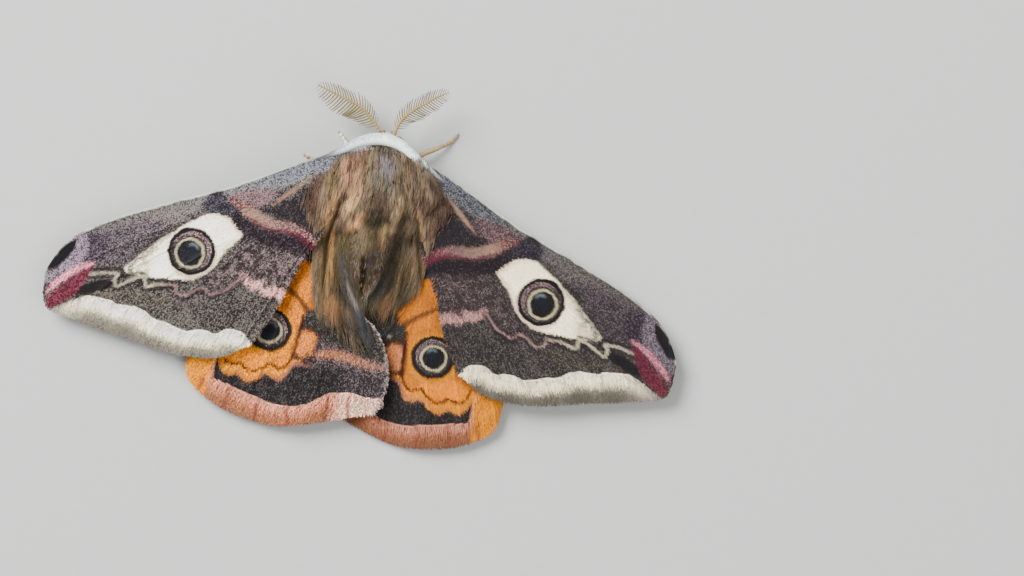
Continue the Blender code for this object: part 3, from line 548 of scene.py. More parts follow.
def paint_hindwing(plan, side):
    """Scale colours of the hindwing at points of the right wing's plan."""
    plan = wobble(plan, 0.07, 0.5, 5)
    cloud = grain(plan, 1.3, 31)
    mottle = grain(plan, 0.4, 37)
    paint = Paint(plan, (58, 48, 50), (126, 108, 108), 0.2)
    paint.fill([(-6.0, -11.0), (-2.0, -11.5), (2.6, -7.0), (5.2, -3.0), (5.6, -8.0), (4.4, -13.0),
                (3.6, -15.0), (-6.0, -16.0)], 0.6, (48, 44, 40), (92, 86, 78), 0.12)

    # Orange ground with the dark line across it.
    orange = paint.patch(ORANGE_FIELD, 0.15)
    paint.lay(orange, (200, 137, 50), (212, 152, 60), 0.25)
    paint.lay(orange * 0.5 * fade(cloud, 0.4, 0.8), (182, 114, 40))
    paint.stroke([(4.4, -13.0), (5.4, -12.0), (6.4, -11.4), (7.4, -10.7), (8.4, -10.5)],
                 [0.3, 0.25, 0.15], 0.2, (92, 58, 34), strength=0.85)
    paint.fill([(5.5, -19.8), (7.4, -18.2), (9.8, -17.6), (11.6, -18.4), (11.2, -19.6), (8.4, -19.8)], 0.4,
               (220, 166, 56), (228, 176, 74), 0.3, 0.6)

    # Salmon patch and inner band, dark between them.
    paint.fill([(2.2, -13.0), (4.4, -12.8), (4.8, -14.4), (3.2, -15.0), (2.2, -14.4)], 0.25,
               (48, 43, 40), (96, 92, 88), 0.12)
    # Painted highlight: a pale glint on the right hindwing only.
    if side > 0:
        paint.lay(paint.disc((3.2, -14.2), 0.22, 0.18) * 0.6, (176, 176, 174))
    paint.fill([(2.6, -14.4), (4.8, -14.4), (5.1, -17.8), (4.2, -18.2), (3.0, -18.0)], 0.3, (66, 36, 26),
               strength=0.9 if side > 0 else 0.5)
    paint.fill(SALMON_PATCH, 0.28, (192, 140, 92) if side > 0 else (204, 148, 62), (210, 158, 98), 0.2)
    paint.stroke([(-4.4, -16.9), (-2.4, -16.8), (-0.6, -16.6), (1.2, -16.6), (2.6, -16.9), (3.8, -17.2)],
                 [0.2, 0.34, 0.42, 0.42, 0.34, 0.16], 0.36,
                 [(0.0, (128, 112, 106)), (0.3, (156, 116, 92)), (0.65, (176, 120, 68)),
                  (1.0, (120, 76, 48))], (184, 138, 104), 0.25, 0.9)

    # Black field, then the orange scallops and lines over its front edge.
    black = paint.patch(np.vstack((BLACK_FIELD_TOP, SALMON_TOP[::-1])), 0.15)
    paint.lay(black, (38, 33, 33), (84, 76, 76), 0.08 + 0.12 * fade(mottle, 0.5, 0.9))
    paint.lay(fade(plan[:, 0], 1.6, -2.2) * black * 0.7, (58, 50, 52), (116, 104, 104), 0.18)
    paint.stroke([(x, y + 0.35) for x, y in SCALLOP_LINE], [0.1, 0.12, 0.42, 0.42, 0.42, 0.4, 0.35], 0.1,
                 (206, 152, 50), (218, 168, 72), 0.25, fade(plan[:, 0], 3.6, 4.6))
    paint.stroke(SCALLOP_LINE, [0.1, 0.16, 0.2, 0.2, 0.2, 0.2, 0.16], 0.09,
                 [(0.0, (158, 112, 102)), (0.2, (182, 130, 98)), (0.5, (204, 152, 76)),
                  (1.0, (204, 152, 64))])
    paint.stroke(WAVY_LINE, [0.12, 0.13, 0.14, 0.16, 0.14, 0.14, 0.12], 0.07, (70, 34, 20), strength=0.92)

    # Eyespot in its orange surround.
    eye = HINDWING_EYE
    paint.lay(paint.disc(eye, 2.55, 0.15), (202, 150, 44), (214, 164, 60), 0.2)
    paint_eyespot(paint, eye, (eye[0] + 0.05, eye[1] - 0.1), 2.12, (-0.55, 0.8), (62, 50, 48))
    paint.lay(paint.ring(eye, 2.14, 0.09, 0.08), (52, 30, 20))

    # Salmon margin with its darker veins, orange at the front corner and grey at the rear one.
    margin, depth = paint.edging(SALMON_TOP, [(17.5, -17.0), (17.5, -27.0), (6.0, -28.5), (-6.0, -26.0),
                                              (-7.0, -21.0)], 3.5)
    shade = ramp(np.minimum(depth / 2.6, 1.0), [
        (0.0, (204, 162, 136)), (0.25, (186, 132, 96)), (0.5, (168, 110, 72)), (0.8, (152, 100, 66)),
        (1.0, (142, 98, 70))])
    # Painted light: the left hindwing's margin lighter, as if it caught more light.
    shade = shade * (1.2 if side < 0 else 1.0)
    paint.lay(margin, shade, np.minimum(shade * 1.18, 0.9), 0.3)
    corner = fade(plan[:, 0] + 0.12 * plan[:, 1], 9.4, 10.4)
    paint.lay(margin * corner, (212, 160, 46), (220, 170, 60), 0.3)
    paint.lay(margin * fade(plan[:, 0], 14.5, 15.6) * 0.5, (184, 136, 84))
    paint.lay(margin * fade(plan[:, 0], 0.6, -2.0), (206, 176, 160), (226, 206, 194), 0.35)
    paint.stroke(HINDWING["inner"][3:], [0.1, 0.14, 0.18, 0.2, 0.2, 0.3], 0.08, (150, 142, 138),
                 (176, 168, 164), 0.3, 0.9)
    paint.creases(SALMON_VEINS, margin * 0.6, (160, 84, 62))
    return paint, margin


# Body: half width, top and underside at places along it, from the head's front to the abdomen's tip.
BODY = [
    (5.55, 0.05, 3.12, 3.08), (5.4, 0.55, 3.75, 2.6), (4.9, 1.05, 4.25, 2.2), (4.4, 1.1, 4.3, 2.2),
    (4.0, 1.05, 4.35, 2.3), (3.6, 1.9, 5.1, 2.5), (3.0, 2.6, 5.6, 2.35), (2.0, 3.1, 5.85, 2.2),
    (0.0, 3.2, 5.9, 2.2), (-2.0, 2.9, 5.7, 2.3), (-3.2, 2.2, 5.3, 2.5), (-3.8, 1.75, 4.9, 2.5),
    (-5.0, 1.9, 5.1, 2.3), (-7.0, 1.7, 4.8, 2.2), (-9.0, 1.1, 4.1, 2.3), (-10.0, 0.6, 3.6, 2.6),
    (-10.5, 0.05, 3.12, 3.08),
]
ANTENNA_PATHS = {
    "left": [(-0.95, 6.0, 4.0), (-1.9, 7.1, 4.05), (-3.0, 7.95, 4.15), (-4.4, 8.45, 4.25), (-6.0, 9.0, 4.3),
             (-7.5, 9.5, 4.3)],
    "right": [(0.8, 6.02, 4.0), (1.25, 7.2, 4.1), (2.2, 8.3, 4.2), (3.3, 9.15, 4.3), (4.4, 9.95, 4.35),
              (5.5, 10.65, 4.35)],
}
EYE_PLACE = (1.3, 4.87, 3.2)
EYE_HALF = (0.62, 0.72, 0.78)
LEGS = {  # each from the body over knee, ankle and heel to the toe
    "leg_fore_right": [
        (1.5, 2.5, 2.3), (3.9, 4.3, 1.45), (5.3, 5.1, 0.9), (6.4, 5.85, 0.2), (6.95, 6.6, 0.2)],
    "leg_fore_left": [
        (-1.5, 2.5, 2.3), (-4.0, 2.9, 1.5), (-3.9, 3.9, 0.9), (-4.2, 4.5, 0.16), (-4.8, 5.1, 0.16)],
    "leg_mid_right": [
        (1.8, 0.7, 2.2), (4.5, 1.2, 1.7), (5.9, 1.3, 0.9), (6.8, 1.1, 0.16), (7.6, 0.7, 0.16)],
    "leg_mid_left": [
        (-1.8, 0.7, 2.2), (-4.5, 1.4, 1.7), (-6.0, 1.9, 0.9), (-6.9, 2.1, 0.16), (-7.9, 2.4, 0.16)],
    "leg_hind_right": [
        (1.7, -1.3, 2.3), (4.1, -3.8, 1.6), (4.9, -7.6, 0.9), (5.3, -9.6, 0.16), (5.6, -12.0, 0.16)],
    "leg_hind_left": [
        (-1.7, -1.3, 2.3), (-4.2, -3.8, 1.6), (-5.2, -7.5, 0.9), (-5.7, -9.4, 0.16), (-6.2, -11.8, 0.16)],
}


def socket(sockets, identifier):
    return next(item for item in sockets if item.identifier == identifier)


def out(node, identifier):
    """An output of a node by its identifier."""
    return socket(node.outputs, identifier)


class Tree:
    """A node tree with short ways to add to it."""

    def __init__(self, tree):
        self.tree = tree

    def wire(self, source, end):
        """Give an input a value, or link it to a socket or to a node's first output."""
        if isinstance(source, bpy.types.Node):
            source = source.outputs[0]
        if isinstance(source, bpy.types.NodeSocket):
            self.tree.links.new(source, end)
        else:
            end.default_value = source

    def add(self, kind, wires=None, **settings):
        """A new node with its settings, each input given by identifier as a value, a node or a socket."""
        node = self.tree.nodes.new(kind)
        for name, value in settings.items():
            setattr(node, name, value)
        for identifier, source in (wires or {}).items():
            self.wire(source, socket(node.inputs, identifier))
        return node

    def math(self, operation, *terms):
        """Chain of one math operation over all the terms."""
        total = terms[0]
        for term in terms[1:]:
            total = self.add("ShaderNodeMath", {"Value": total, "Value_001": term}, operation=operation)
        return total

    def times(self, *terms):
        return self.math("MULTIPLY", *terms)

    def plus(self, *terms):
        return self.math("ADD", *terms)

    def minus(self, *terms):
        return self.math("SUBTRACT", *terms)

    def xyz(self, **parts):
        """A vector of its parts."""
        return self.add("ShaderNodeCombineXYZ", parts)

    def scaled(self, vector, factor):
        return self.add("ShaderNodeVectorMath", {"Vector": vector, "Scale": factor}, operation="SCALE")

    def stored(self, name, data_type="FLOAT"):
        """A stored attribute of the geometry, by name."""
        return self.add("GeometryNodeInputNamedAttribute", {"Name": name}, data_type=data_type)

    def store(self, geometry, name, value, data_type):
        """The geometry with a value kept on its points."""
        wires = {"Geometry": geometry, "Name": name, "Value": value}
        return self.add("GeometryNodeStoreNamedAttribute", wires, data_type=data_type, domain="POINT")

    def random(self, low, high, seed, offset):
        """A random number for each element; the offset keeps the uses of one seed apart."""
        return out(self.add("FunctionNodeRandomValue", {"Min_001": low, "Max_001": high,
                                                        "Seed": self.plus(seed, float(offset))},
                            data_type="FLOAT"), "Value_001")

    def facing(self, ahead, aside, second="X"):
        """Rotation with Z along the first direction and another axis towards the second."""
        return self.add("FunctionNodeAxesToRotation", {"Primary Axis": ahead, "Secondary Axis": aside},
                        primary_axis="Z", secondary_axis=second)

    def turned(self, first, euler):
        """A rotation followed by small turns about its own axes."""
        own = self.add("FunctionNodeEulerToRotation", {"Euler": euler})
        return self.add("FunctionNodeRotateRotation", {"Rotation": first, "Rotate By": own},
                        rotation_space="LOCAL")

    def instances(self, points, instance, rotation, scale):
        return self.add("GeometryNodeInstanceOnPoints", {"Points": points, "Instance": instance,
                                                         "Rotation": rotation, "Scale": scale})

    def end(self, geometry, finish):
        """Close the tree: its instances made real, its material set."""
        real = self.add("GeometryNodeRealizeInstances", {"Geometry": geometry})
        finished = self.add("GeometryNodeSetMaterial", {"Geometry": real, "Material": finish})
        self.add("NodeGroupOutput", {self.tree.interface.items_tree[0].identifier: finished})
        return self.tree


def new_tree(name, start, inputs):
    """A Geometry Nodes tree that takes a geometry and named inputs, with its inputs by name."""
    tree = bpy.data.node_groups.new(name, "GeometryNodeTree")
    tree.interface.new_socket(start, in_out="INPUT", socket_type="NodeSocketGeometry")
    for label, kind, default in inputs:
        made = tree.interface.new_socket(label, in_out="INPUT", socket_type="NodeSocket" + kind)
        if default is not None:
            made.default_value = default
    tree.interface.new_socket("Result", in_out="OUTPUT", socket_type="NodeSocketGeometry")
    entry = tree.nodes.new("NodeGroupInput")
    return Tree(tree), {item.name: item for item in entry.outputs if item.name}


def coat_tree():
    """Tapered blades laid over a skin along its lie, in its colours: scales or short hair."""
    tree, inputs = new_tree("coat", "Skin", [
        ("Density", "Float", 1e8), ("Length", "Float", 0.0003), ("Width", "Float", 0.0001),
        ("Lift", "Float", 0.15), ("Curl", "Float", -0.1), ("Spread", "Float", 0.2), ("Taper", "Float", 0.2),
        ("Belly", "Float", 1.2), ("Rows", "Int", 3), ("Shade", "Float", 0.2), ("Flecks", "Float", 1.0),
        ("Seed", "Int", 1), ("Finish", "Material", None)])
    seed, shade, spread = inputs["Seed"], inputs["Shade"], inputs["Spread"]

    # One blade, its root at the origin and its tip along Y.
    grid = tree.add("GeometryNodeMeshGrid", {"Size X": 1.0, "Size Y": 1.0, "Vertices X": 2,
                                             "Vertices Y": inputs["Rows"]})
    place = tree.add("ShaderNodeSeparateXYZ", {"Vector": tree.add("GeometryNodeInputPosition")})
    along = tree.plus(place.outputs[1], 0.5)
    blade = tree.store(out(grid, "Mesh"), "tuft", tree.xyz(X=place.outputs[0], Y=along), "FLOAT_VECTOR")
    narrowing = tree.minus(1.0, tree.times(inputs["Taper"], along))
    bulge = tree.times(inputs["Belly"], along, tree.minus(1.0, along))
    across = tree.times(place.outputs[0], tree.plus(narrowing, bulge))
    shaped = tree.xyz(X=across, Y=along, Z=tree.times(inputs["Curl"], along, along))
    blade = tree.add("GeometryNodeSetPosition", {"Geometry": blade, "Position": shaped})

    # Where the blades root: evenly over the skin, thinned by its cover.
    roots = tree.add("GeometryNodeDistributePointsOnFaces", {
        "Mesh": inputs["Skin"], "Density": tree.times(inputs["Density"], tree.stored("cover")), "Seed": seed})
    fleck = tree.math("LESS_THAN", tree.random(0.0, 1.0, seed, 11), tree.stored("fleck"))
    mixed = tree.add("ShaderNodeMix", {
        "Factor_Float": tree.times(fleck, inputs["Flecks"]), "A_Color": tree.stored("tint", "FLOAT_COLOR"),
        "B_Color": tree.stored("fleck_tint", "FLOAT_COLOR")}, data_type="RGBA")
    lightness = tree.random(tree.minus(1.0, shade), tree.plus(1.0, shade), seed, 12)
    tint = tree.scaled(out(mixed, "Result_Color"), lightness)
    points = tree.store(out(roots, "Points"), "tint", tint, "FLOAT_COLOR")

    # Each blade follows the lie, with its own small lift, roll and swing.
    upright = tree.facing(out(roots, "Normal"), tree.stored("lie", "FLOAT_VECTOR"), "Y")
    back = tree.times(spread, -1.0)
    lift = tree.times(inputs["Lift"], tree.random(0.4, 1.6, seed, 13), tree.stored("raise"))
    jitter = tree.xyz(X=lift, Y=tree.random(back, spread, seed, 14), Z=tree.random(back, spread, seed, 15))
    length = tree.times(inputs["Length"], tree.stored("size"), tree.random(0.7, 1.3, seed, 16))
    width = tree.times(inputs["Width"], tree.stored("girth"), tree.random(0.8, 1.2, seed, 17))
    coat = tree.instances(points, blade, tree.turned(upright, jitter), tree.xyz(X=width, Y=length, Z=length))
    return tree.end(coat, inputs["Finish"])


def linked(name, data):
    """New object of the data, in the scene."""
    made = bpy.data.objects.new(name, data)
    bpy.context.scene.collection.objects.link(made)
    return made


def grown(name, skin, tree, values):
    """Plain mesh object of what a tree makes from a skin, its inputs set by their identifiers."""
    carrier = linked(name + "_carrier", skin.data)
    modifier = carrier.modifiers.new("growth", "NODES")
    modifier.node_group = tree
    for item in tree.interface.items_tree:
        if item.in_out == "INPUT" and item.name in values:
            modifier[item.identifier] = values[item.name]
    graph = bpy.context.evaluated_depsgraph_get()
    mesh = bpy.data.meshes.new_from_object(carrier.evaluated_get(graph), preserve_all_data_layers=True,
                                           depsgraph=graph)
    carrier.modifiers.clear()
    bpy.data.objects.remove(carrier)
    mesh.name = name
    return linked(name, mesh)


TUFT_PATCH = 0.003  # size of each tuft's patch on its skin's unwrap


def numbers(mesh, name, width):
    """A point attribute of a mesh as an array, with the given number of values for each point."""
    kinds = {1: "value", 3: "vector", 4: "color"}
    data = np.zeros(len(mesh.vertices) * width, np.float32)
    mesh.attributes[name].data.foreach_get(kinds[width], data)
    return data.reshape(-1, width)


def store(mesh, name, values, domain="POINT"):
    """Keep an array as an attribute of a mesh: a number, a vector or a colour for each point."""
    values = np.asarray(values, np.float32)
    width = 1 if values.ndim == 1 else values.shape[1]
    kind, field = {1: ("FLOAT", "value"), 3: ("FLOAT_VECTOR", "vector"), 4: ("FLOAT_COLOR", "color")}[width]
    mesh.attributes.new(name, kind, domain).data.foreach_set(field, values.ravel())


def unwrap(mesh, spots):
    """Lay a mesh's own map from a place on it for each point."""
    corners = np.zeros(len(mesh.loops), np.int32)
    mesh.loops.foreach_get("vertex_index", corners)
    layer = mesh.uv_layers.get("OFBake") or mesh.uv_layers.new(name="OFBake")
    layer.uv.foreach_set("vector", np.asarray(spots, np.float32)[corners][:, :2].ravel())
    mesh.uv_layers.active = layer


def unwrap_tufts(piece, keep=()):
    """Each tuft's patch lies at its root's place on the unwrap of the skin that it grows on."""
    spots = numbers(piece.data, "root_uv", 3) + TUFT_PATCH * (numbers(piece.data, "tuft", 3) - (0, 0.5, 0))
    unwrap(piece.data, np.clip(spots, 0.001, 0.999))
    for name in ("root_uv", "lie", "cover", "size", "girth", "raise", "fleck", "fleck_tint"):
        if name in piece.data.attributes and name not in keep:
            piece.data.attributes.remove(piece.data.attributes[name])


def mesh_piece(name, points, faces, finish):
    """New smooth-shaded object from points in millimetres in the moth's frame."""
    mesh = bpy.data.meshes.new(name)
    mesh.from_pydata(placed(points), [], faces)
    mesh.update()
    mesh.polygons.foreach_set("use_smooth", np.ones(len(mesh.polygons), bool))
    mesh.materials.append(finish)
    return linked(name, mesh)


def deliver(piece, slot, *nodes):
    """Hand a finished piece to the frame: it rides on the body and may stand for nodes."""
    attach(piece, "root")
    if nodes:
        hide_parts(*nodes)


def grid_faces(rows, columns, first=0):
    """Quads of a grid of points laid row after row."""
    corner = (np.arange(rows)[:, None] * (columns + 1) + np.arange(columns)[None, :]).ravel() + first
    return np.column_stack((corner, corner + columns + 1, corner + columns + 2, corner + 1))


SKIN_RISE = 0.12  # top of the membrane above the wing's middle surface
SKIN_DROP = 0.02
VEIN_RISE = 0.11
VEIN_WIDTH = 0.007
MEMBRANE_REACH = 0.985
FRINGE_PUFF = 0.14  # how far the fringe stands above the rest of the wing
LEFT_SHEEN_PALER = 1.75  # how much paler the left wings' flecks are, painted sheen of the left wings catching more light
UNDER_STEP = 4  # the underside has one point for so many on the top


def vein_ridges(veins, u, v):
    """Share of a vein's height at each place of a wing, and the sag of the membrane between veins."""
    ridges = np.zeros_like(u)
    for place, start in veins:
        bump = np.exp(-((v - place) / VEIN_WIDTH) ** 2) * fade(u, start, start + 0.18)
        ridges = np.maximum(ridges, bump * (1 - 0.6 * fade(u, 0.85, 1.0)))
    places = [0.0] + [place for place, _ in veins] + [1.0]
    cell = np.clip(np.searchsorted(places, v, side="right") - 1, 0, len(places) - 2)
    low, high = np.array(places)[cell], np.array(places)[cell + 1]
    sag = np.sin(np.pi * (v - low) / (high - low)) ** 2 * fade(u, 0.3, 0.6)
    return ridges, sag


def wing_skin(name, side, wing, angle, height, rows, columns, painter, under_tint, finish):
    """Thin closed membrane of a wing with its veins and markings, ready for its scales."""
    u, v = np.meshgrid(np.linspace(0, MEMBRANE_REACH, rows + 1), np.linspace(0, 1, columns + 1),
                       indexing="ij")
    plan = wing_plan(wing, u, v)
    spread = swing(plan.reshape(-1, 2), angle) * (side, 1)
    middle = height(spread[:, 0], spread[:, 1])
    ridges, sag = vein_ridges(wing["veins"], u, v)
    ripple = 0.1 * (grain(plan.reshape(-1, 2), 2.2, 51) - 0.5)
    paint, fringe = painter(plan.reshape(-1, 2), side)
    puff = FRINGE_PUFF * fringe * (1 - fade(u.ravel(), 0.9, MEMBRANE_REACH))
    top_z = middle + SKIN_RISE + VEIN_RISE * ridges.ravel() - 0.05 * sag.ravel() + ripple + puff
    top = np.column_stack((spread, top_z))

    keep = np.zeros(u.shape, bool)
    keep[::UNDER_STEP, ::UNDER_STEP] = True
    under_index = np.flatnonzero(keep.ravel())
    under = top[under_index].copy()
    under[:, 2] -= SKIN_RISE - SKIN_DROP + VEIN_RISE * ridges.ravel()[under_index] + puff[under_index]
    points = np.vstack((top, under))

    # Faces: the top, the underside, and a wall joining each underside edge to the top's edges over it.
    total = len(top)
    under_rows, under_columns = rows // UNDER_STEP, columns // UNDER_STEP
    faces = grid_faces(rows, columns).tolist()
    faces += grid_faces(under_rows, under_columns, total)[:, ::-1].tolist()
    number = np.arange(total).reshape(rows + 1, columns + 1)
    coarse = np.arange(len(under)).reshape(under_rows + 1, under_columns + 1) + total
    sides = [(number[:, 0], coarse[:, 0]), (number[-1, :], coarse[-1, :]),
             (number[::-1, -1], coarse[::-1, -1]), (number[0, ::-1], coarse[0, ::-1])]
    walls_from = len(faces)
    for fine, rough in sides:
        for i in range(len(rough) - 1):
            over = fine[i * UNDER_STEP:(i + 1) * UNDER_STEP + 1]
            faces.append([int(n) for n in over[::-1]] + [int(rough[i]), int(rough[i + 1])])
    a, b, c = (np.append(spread[n], 0) for n in faces[0][:3])
    if np.cross(b - a, c - b)[2] < 0:
        faces = [face[::-1] for face in faces]
    skin = mesh_piece(name, points, faces, finish)

    # Markings, and what each scale needs to know: where it lies, how long and how wide it is.
    flow = np.gradient(top.reshape(rows + 1, columns + 1, 3), axis=0).reshape(-1, 3)
    flow /= np.maximum(np.linalg.norm(flow, axis=1), 1e-9)[:, None]
    rear = np.gradient(top.reshape(rows + 1, columns + 1, 3), axis=1).reshape(-1, 3)
    rear /= np.maximum(np.linalg.norm(rear, axis=1), 1e-9)[:, None]
    flat_u, flat_v = u.ravel(), v.ravel()
    flow += rear * 0.9 * fade(flat_v, 0.9, 1.0)[:, None]
    flow += rear * 0.5 * (1 - fade(flat_v, 0.03, 0.12))[:, None] * (wing["bare_edge"] > 0)
    brighten = (1 + 0.22 * ridges.ravel())[:, None]
    ones = np.ones(total)
    # Painted sheen: the left wings carry more and paler flecks, as if they caught more light.
    sheen_flecks, sheen_paler = (wing["left_sheen_flecks"], LEFT_SHEEN_PALER) if side < 0 else (1.0, 1.0)
    top_half = np.column_stack(((plan.reshape(-1, 2) - (-6.0, -27.0)) / (80.0, 32.0), np.zeros(total)))
    values = {
        "tint": np.column_stack((paint.ground * brighten, ones)),
        "fleck_tint": np.column_stack((np.minimum(paint.flecks * brighten * sheen_paler, 0.95), ones)),
        "fleck": np.minimum(paint.share * sheen_flecks, 0.8),
        "lie": flow,
        "size": (1 + fringe * (1.1 - 1.2 * fade(flat_u, 0.9, MEMBRANE_REACH)) + 0.8 * fade(flat_u, 0.2, 0.05)
                 + 0.3 * fade(flat_v, 0.93, 1.0) - 0.45 * fade(flat_v, 0.07, 0.03)) * (1 - 0.6 * paint.fine),
        "girth": (1 - 0.4 * fringe) * (1 - 0.35 * paint.fine),
        "raise": 1 + 0.4 * fringe,
        "root_uv": top_half,
    }
    for key, value in values.items():
        below = value[under_index].copy()
        if key in ("tint", "fleck_tint"):
            paler = 0.45 * (1 - fringe[under_index])[:, None]
            below[:, :3] += paler * (colour(*under_tint) - below[:, :3])
        if key == "root_uv":
            below[:, 0] += 0.5
        store(skin.data, key, np.concatenate((value, below)))
    cover = np.ones(len(faces))
    under_v = v[::UNDER_STEP, ::UNDER_STEP][:-1, :-1].ravel()
    cover[rows * columns:walls_from] = 0.22 * (under_v >= wing["bare_edge"])
    bare = wing["bare"]
    corner_x, corner_v = np.abs(spread[:, 0]).reshape(u.shape)[:-1, :-1], v[:-1, :-1]
    scaly = fade(corner_x, bare - 0.4, bare + 0.4) * (corner_v > wing["bare_edge"])
    cover[:rows * columns] *= scaly.ravel()
    cover[walls_from:] = 0.0
    store(skin.data, "cover", cover, "FACE")

    # The skin's own map: the top in one half, the underside in the other, the walls beside the top.
    spots = numbers(skin.data, "root_uv", 3)
    unwrap(skin.data, spots)
    layer = skin.data.uv_layers["OFBake"]
    centre = top_half.mean(0)
    for polygon in list(skin.data.polygons)[walls_from:]:
        for loop in polygon.loop_indices:
            vertex = skin.data.loops[loop].vertex_index
            if vertex >= total:
                spot = top_half[under_index[vertex - total]]
                outward = (spot - centre) / np.linalg.norm(spot - centre)
                layer.uv[loop].vector = (spot + 0.003 * outward)[:2]
    return skin


SPECK_SIZE = 0.00009  # the finest flecks among the scales


def surface(name, values):
    """New material with the shader's own sockets set, with its tree and its shader."""
    made = bpy.data.materials.new(name)
    made.use_nodes = True
    shader = made.node_tree.nodes["Principled BSDF"]
    for label, value in values.items():
        shader.inputs[label].default_value = value
    return made, Tree(made.node_tree), shader


def tinted(name, rough, sheen=0.0, gloss=0.1, root_shade=1.0, tip_shade=1.0, speckle=0.0):
    """Material that takes its colour from the piece's own tint, darker at the roots of tufts than at their
    tips, as painted shade among crowded tufts.
    """
    made, tree, shader = surface(name, {"Roughness": rough, "Sheen Weight": sheen, "Sheen Roughness": 0.5,
                                        "Specular IOR Level": gloss})

    def own(attribute, value="Color"):
        """What the piece's attribute of that name holds."""
        return out(tree.add("ShaderNodeAttribute", attribute_name=attribute), value)

    where = out(tree.add("ShaderNodeTexCoord"), "Object")
    specks = out(tree.add("ShaderNodeTexVoronoi", {"Vector": where, "Scale": 1 / SPECK_SIZE}), "Color")
    chance = tree.add("ShaderNodeSeparateColor", {"Color": specks})
    flecked = tree.math("LESS_THAN", chance.outputs[0], own("fleck", "Fac"))
    tint = tree.add("ShaderNodeMix", {"Factor_Float": flecked, "A_Color": own("tint"),
                                      "B_Color": own("fleck_tint")}, data_type="RGBA")
    place = tree.add("ShaderNodeSeparateXYZ", {"Vector": own("tuft", "Vector")})
    shade = tree.add("ShaderNodeMapRange", {"Value": place.outputs[1], "To Min": root_shade,
                                            "To Max": tip_shade})
    grains = tree.add("ShaderNodeTexNoise", {"Vector": where, "Scale": 9000.0, "Detail": 3.0})
    varied = tree.add("ShaderNodeMapRange", {"Value": grains, "From Min": 0.3, "From Max": 0.7,
                                             "To Min": 1.0 - speckle, "To Max": 1.0 + speckle})
    final = tree.scaled(tree.scaled(out(tint, "Result_Color"), shade), varied)
    tree.wire(final, shader.inputs["Base Color"])
    bump = tree.add("ShaderNodeBump", {"Strength": 0.4, "Distance": 0.00002, "Height": grains})
    tree.wire(bump, shader.inputs["Normal"])
    return made


LOOKS = {  # each finish: how rough and glossy it is, how its tufts shade from root to tip, how freckled it is
    "wing membrane": {"rough": 0.65, "speckle": 0.25},
    "wing scales": {"rough": 0.65, "sheen": 0.03, "gloss": 0.07, "root_shade": 0.85, "tip_shade": 1.08},
    "moth hair": {"rough": 0.6, "gloss": 0.04, "root_shade": 1.15, "tip_shade": 2.2},
    "pale moth hair": {"rough": 0.6, "sheen": 0.1, "gloss": 0.06, "root_shade": 0.95, "tip_shade": 1.1},
    "body skin": {"rough": 0.75, "speckle": 0.3},
    "antenna cuticle": {"rough": 0.5, "gloss": 0.2, "speckle": 0.12},
    "leg cuticle": {"rough": 0.5, "gloss": 0.2, "speckle": 0.2},
}


def finish_of(name):
    """The material of that name, made once."""
    return bpy.data.materials.get(name) or tinted(name, **LOOKS[name])


def scaled_wing(side, part, wing, angle, height, rows, columns, painter, under_tint, seed):
    """One wing: its membrane, which stands for the solid, and its coat of scales."""
    look = bpy.context.scene.moth_wings
    name = part + ("_left" if side < 0 else "_right")
    skin = wing_skin(name + "_membrane", side, wing, angle, height, rows, columns, painter, under_tint,
                     finish_of("wing membrane"))
    scales = grown(name + "_scales", skin, coat_tree(), {
        "Density": look.scale_density / MM ** 2, "Length": look.scale_length, "Width": look.scale_width,
        "Lift": 0.16, "Curl": -0.12, "Spread": 0.16, "Taper": 0.25, "Belly": 1.3, "Rows": 3, "Shade": 0.2,
        "Flecks": 0.45, "Seed": seed, "Finish": finish_of("wing scales")})
    unwrap_tufts(scales, ("fleck", "fleck_tint"))
    deliver(skin, part + "_scales", name)
    deliver(scales, part + "_scales")


def build_forewings():
    for side, seed in ((-1, 101), (1, 102)):
        scaled_wing(side, "forewing", FOREWING, 0.0, wing_height, 240, 160, paint_forewing, (196, 150, 100),
                    seed)


def build_hindwings():
    for side, angle, seed in ((-1, LEFT_SWING, 103), (1, 0.0, 104)):
        scaled_wing(side, "hindwing", HINDWING, angle, lambda x, y, s=side: hindwing_height(x, y, s), 160,
                    160, paint_hindwing, (168, 138, 130), seed)


class MothWings(bpy.types.PropertyGroup):
    scale_density: bpy.props.FloatProperty(
        name="Scale density", description="Scales on each square millimetre of a wing's upper side",
        default=100.0, min=1.0, max=400.0)
    scale_length: bpy.props.FloatProperty(
        name="Scale length", description="Length of an ordinary wing scale", default=0.00034,
        min=0.0001, max=0.001, subtype="DISTANCE", unit="LENGTH", precision=5)
    scale_width: bpy.props.FloatProperty(
        name="Scale width", description="Width of an ordinary wing scale", default=0.0001,
        min=0.00003, max=0.0005, subtype="DISTANCE", unit="LENGTH", precision=5)


class MothStage(bpy.types.PropertyGroup):
    floor_shade: bpy.props.FloatVectorProperty(
        name="Floor", description="Colour of the floor", default=(0.43, 0.43, 0.425), subtype="COLOR", size=3)
    camera_height: bpy.props.FloatProperty(
        name="Camera height", description="Height of the camera over the floor", default=0.6, unit="LENGTH",
        subtype="DISTANCE")
    light_power: bpy.props.FloatProperty(
        name="Light", description="Power of the large softbox", default=1.0, unit="POWER")


PICTURE_TURN = math.radians(8.3)  # the moth's head points this far to the left of straight up in the picture
PICTURE_MIDDLE = (14.576, -7.777)  # the moth's own place at the picture's centre
PICTURE_WIDTH = 102.4  # millimetres across the picture at the wings' height
WINGS_Z = 3.5


SKY_STRENGTH = 0.7
LAMPS = (("softbox", (-0.36, 0.28, 0.42), 0.4, 12.6), ("fill", (0.4, -0.15, 0.55), 0.6, 3.1))


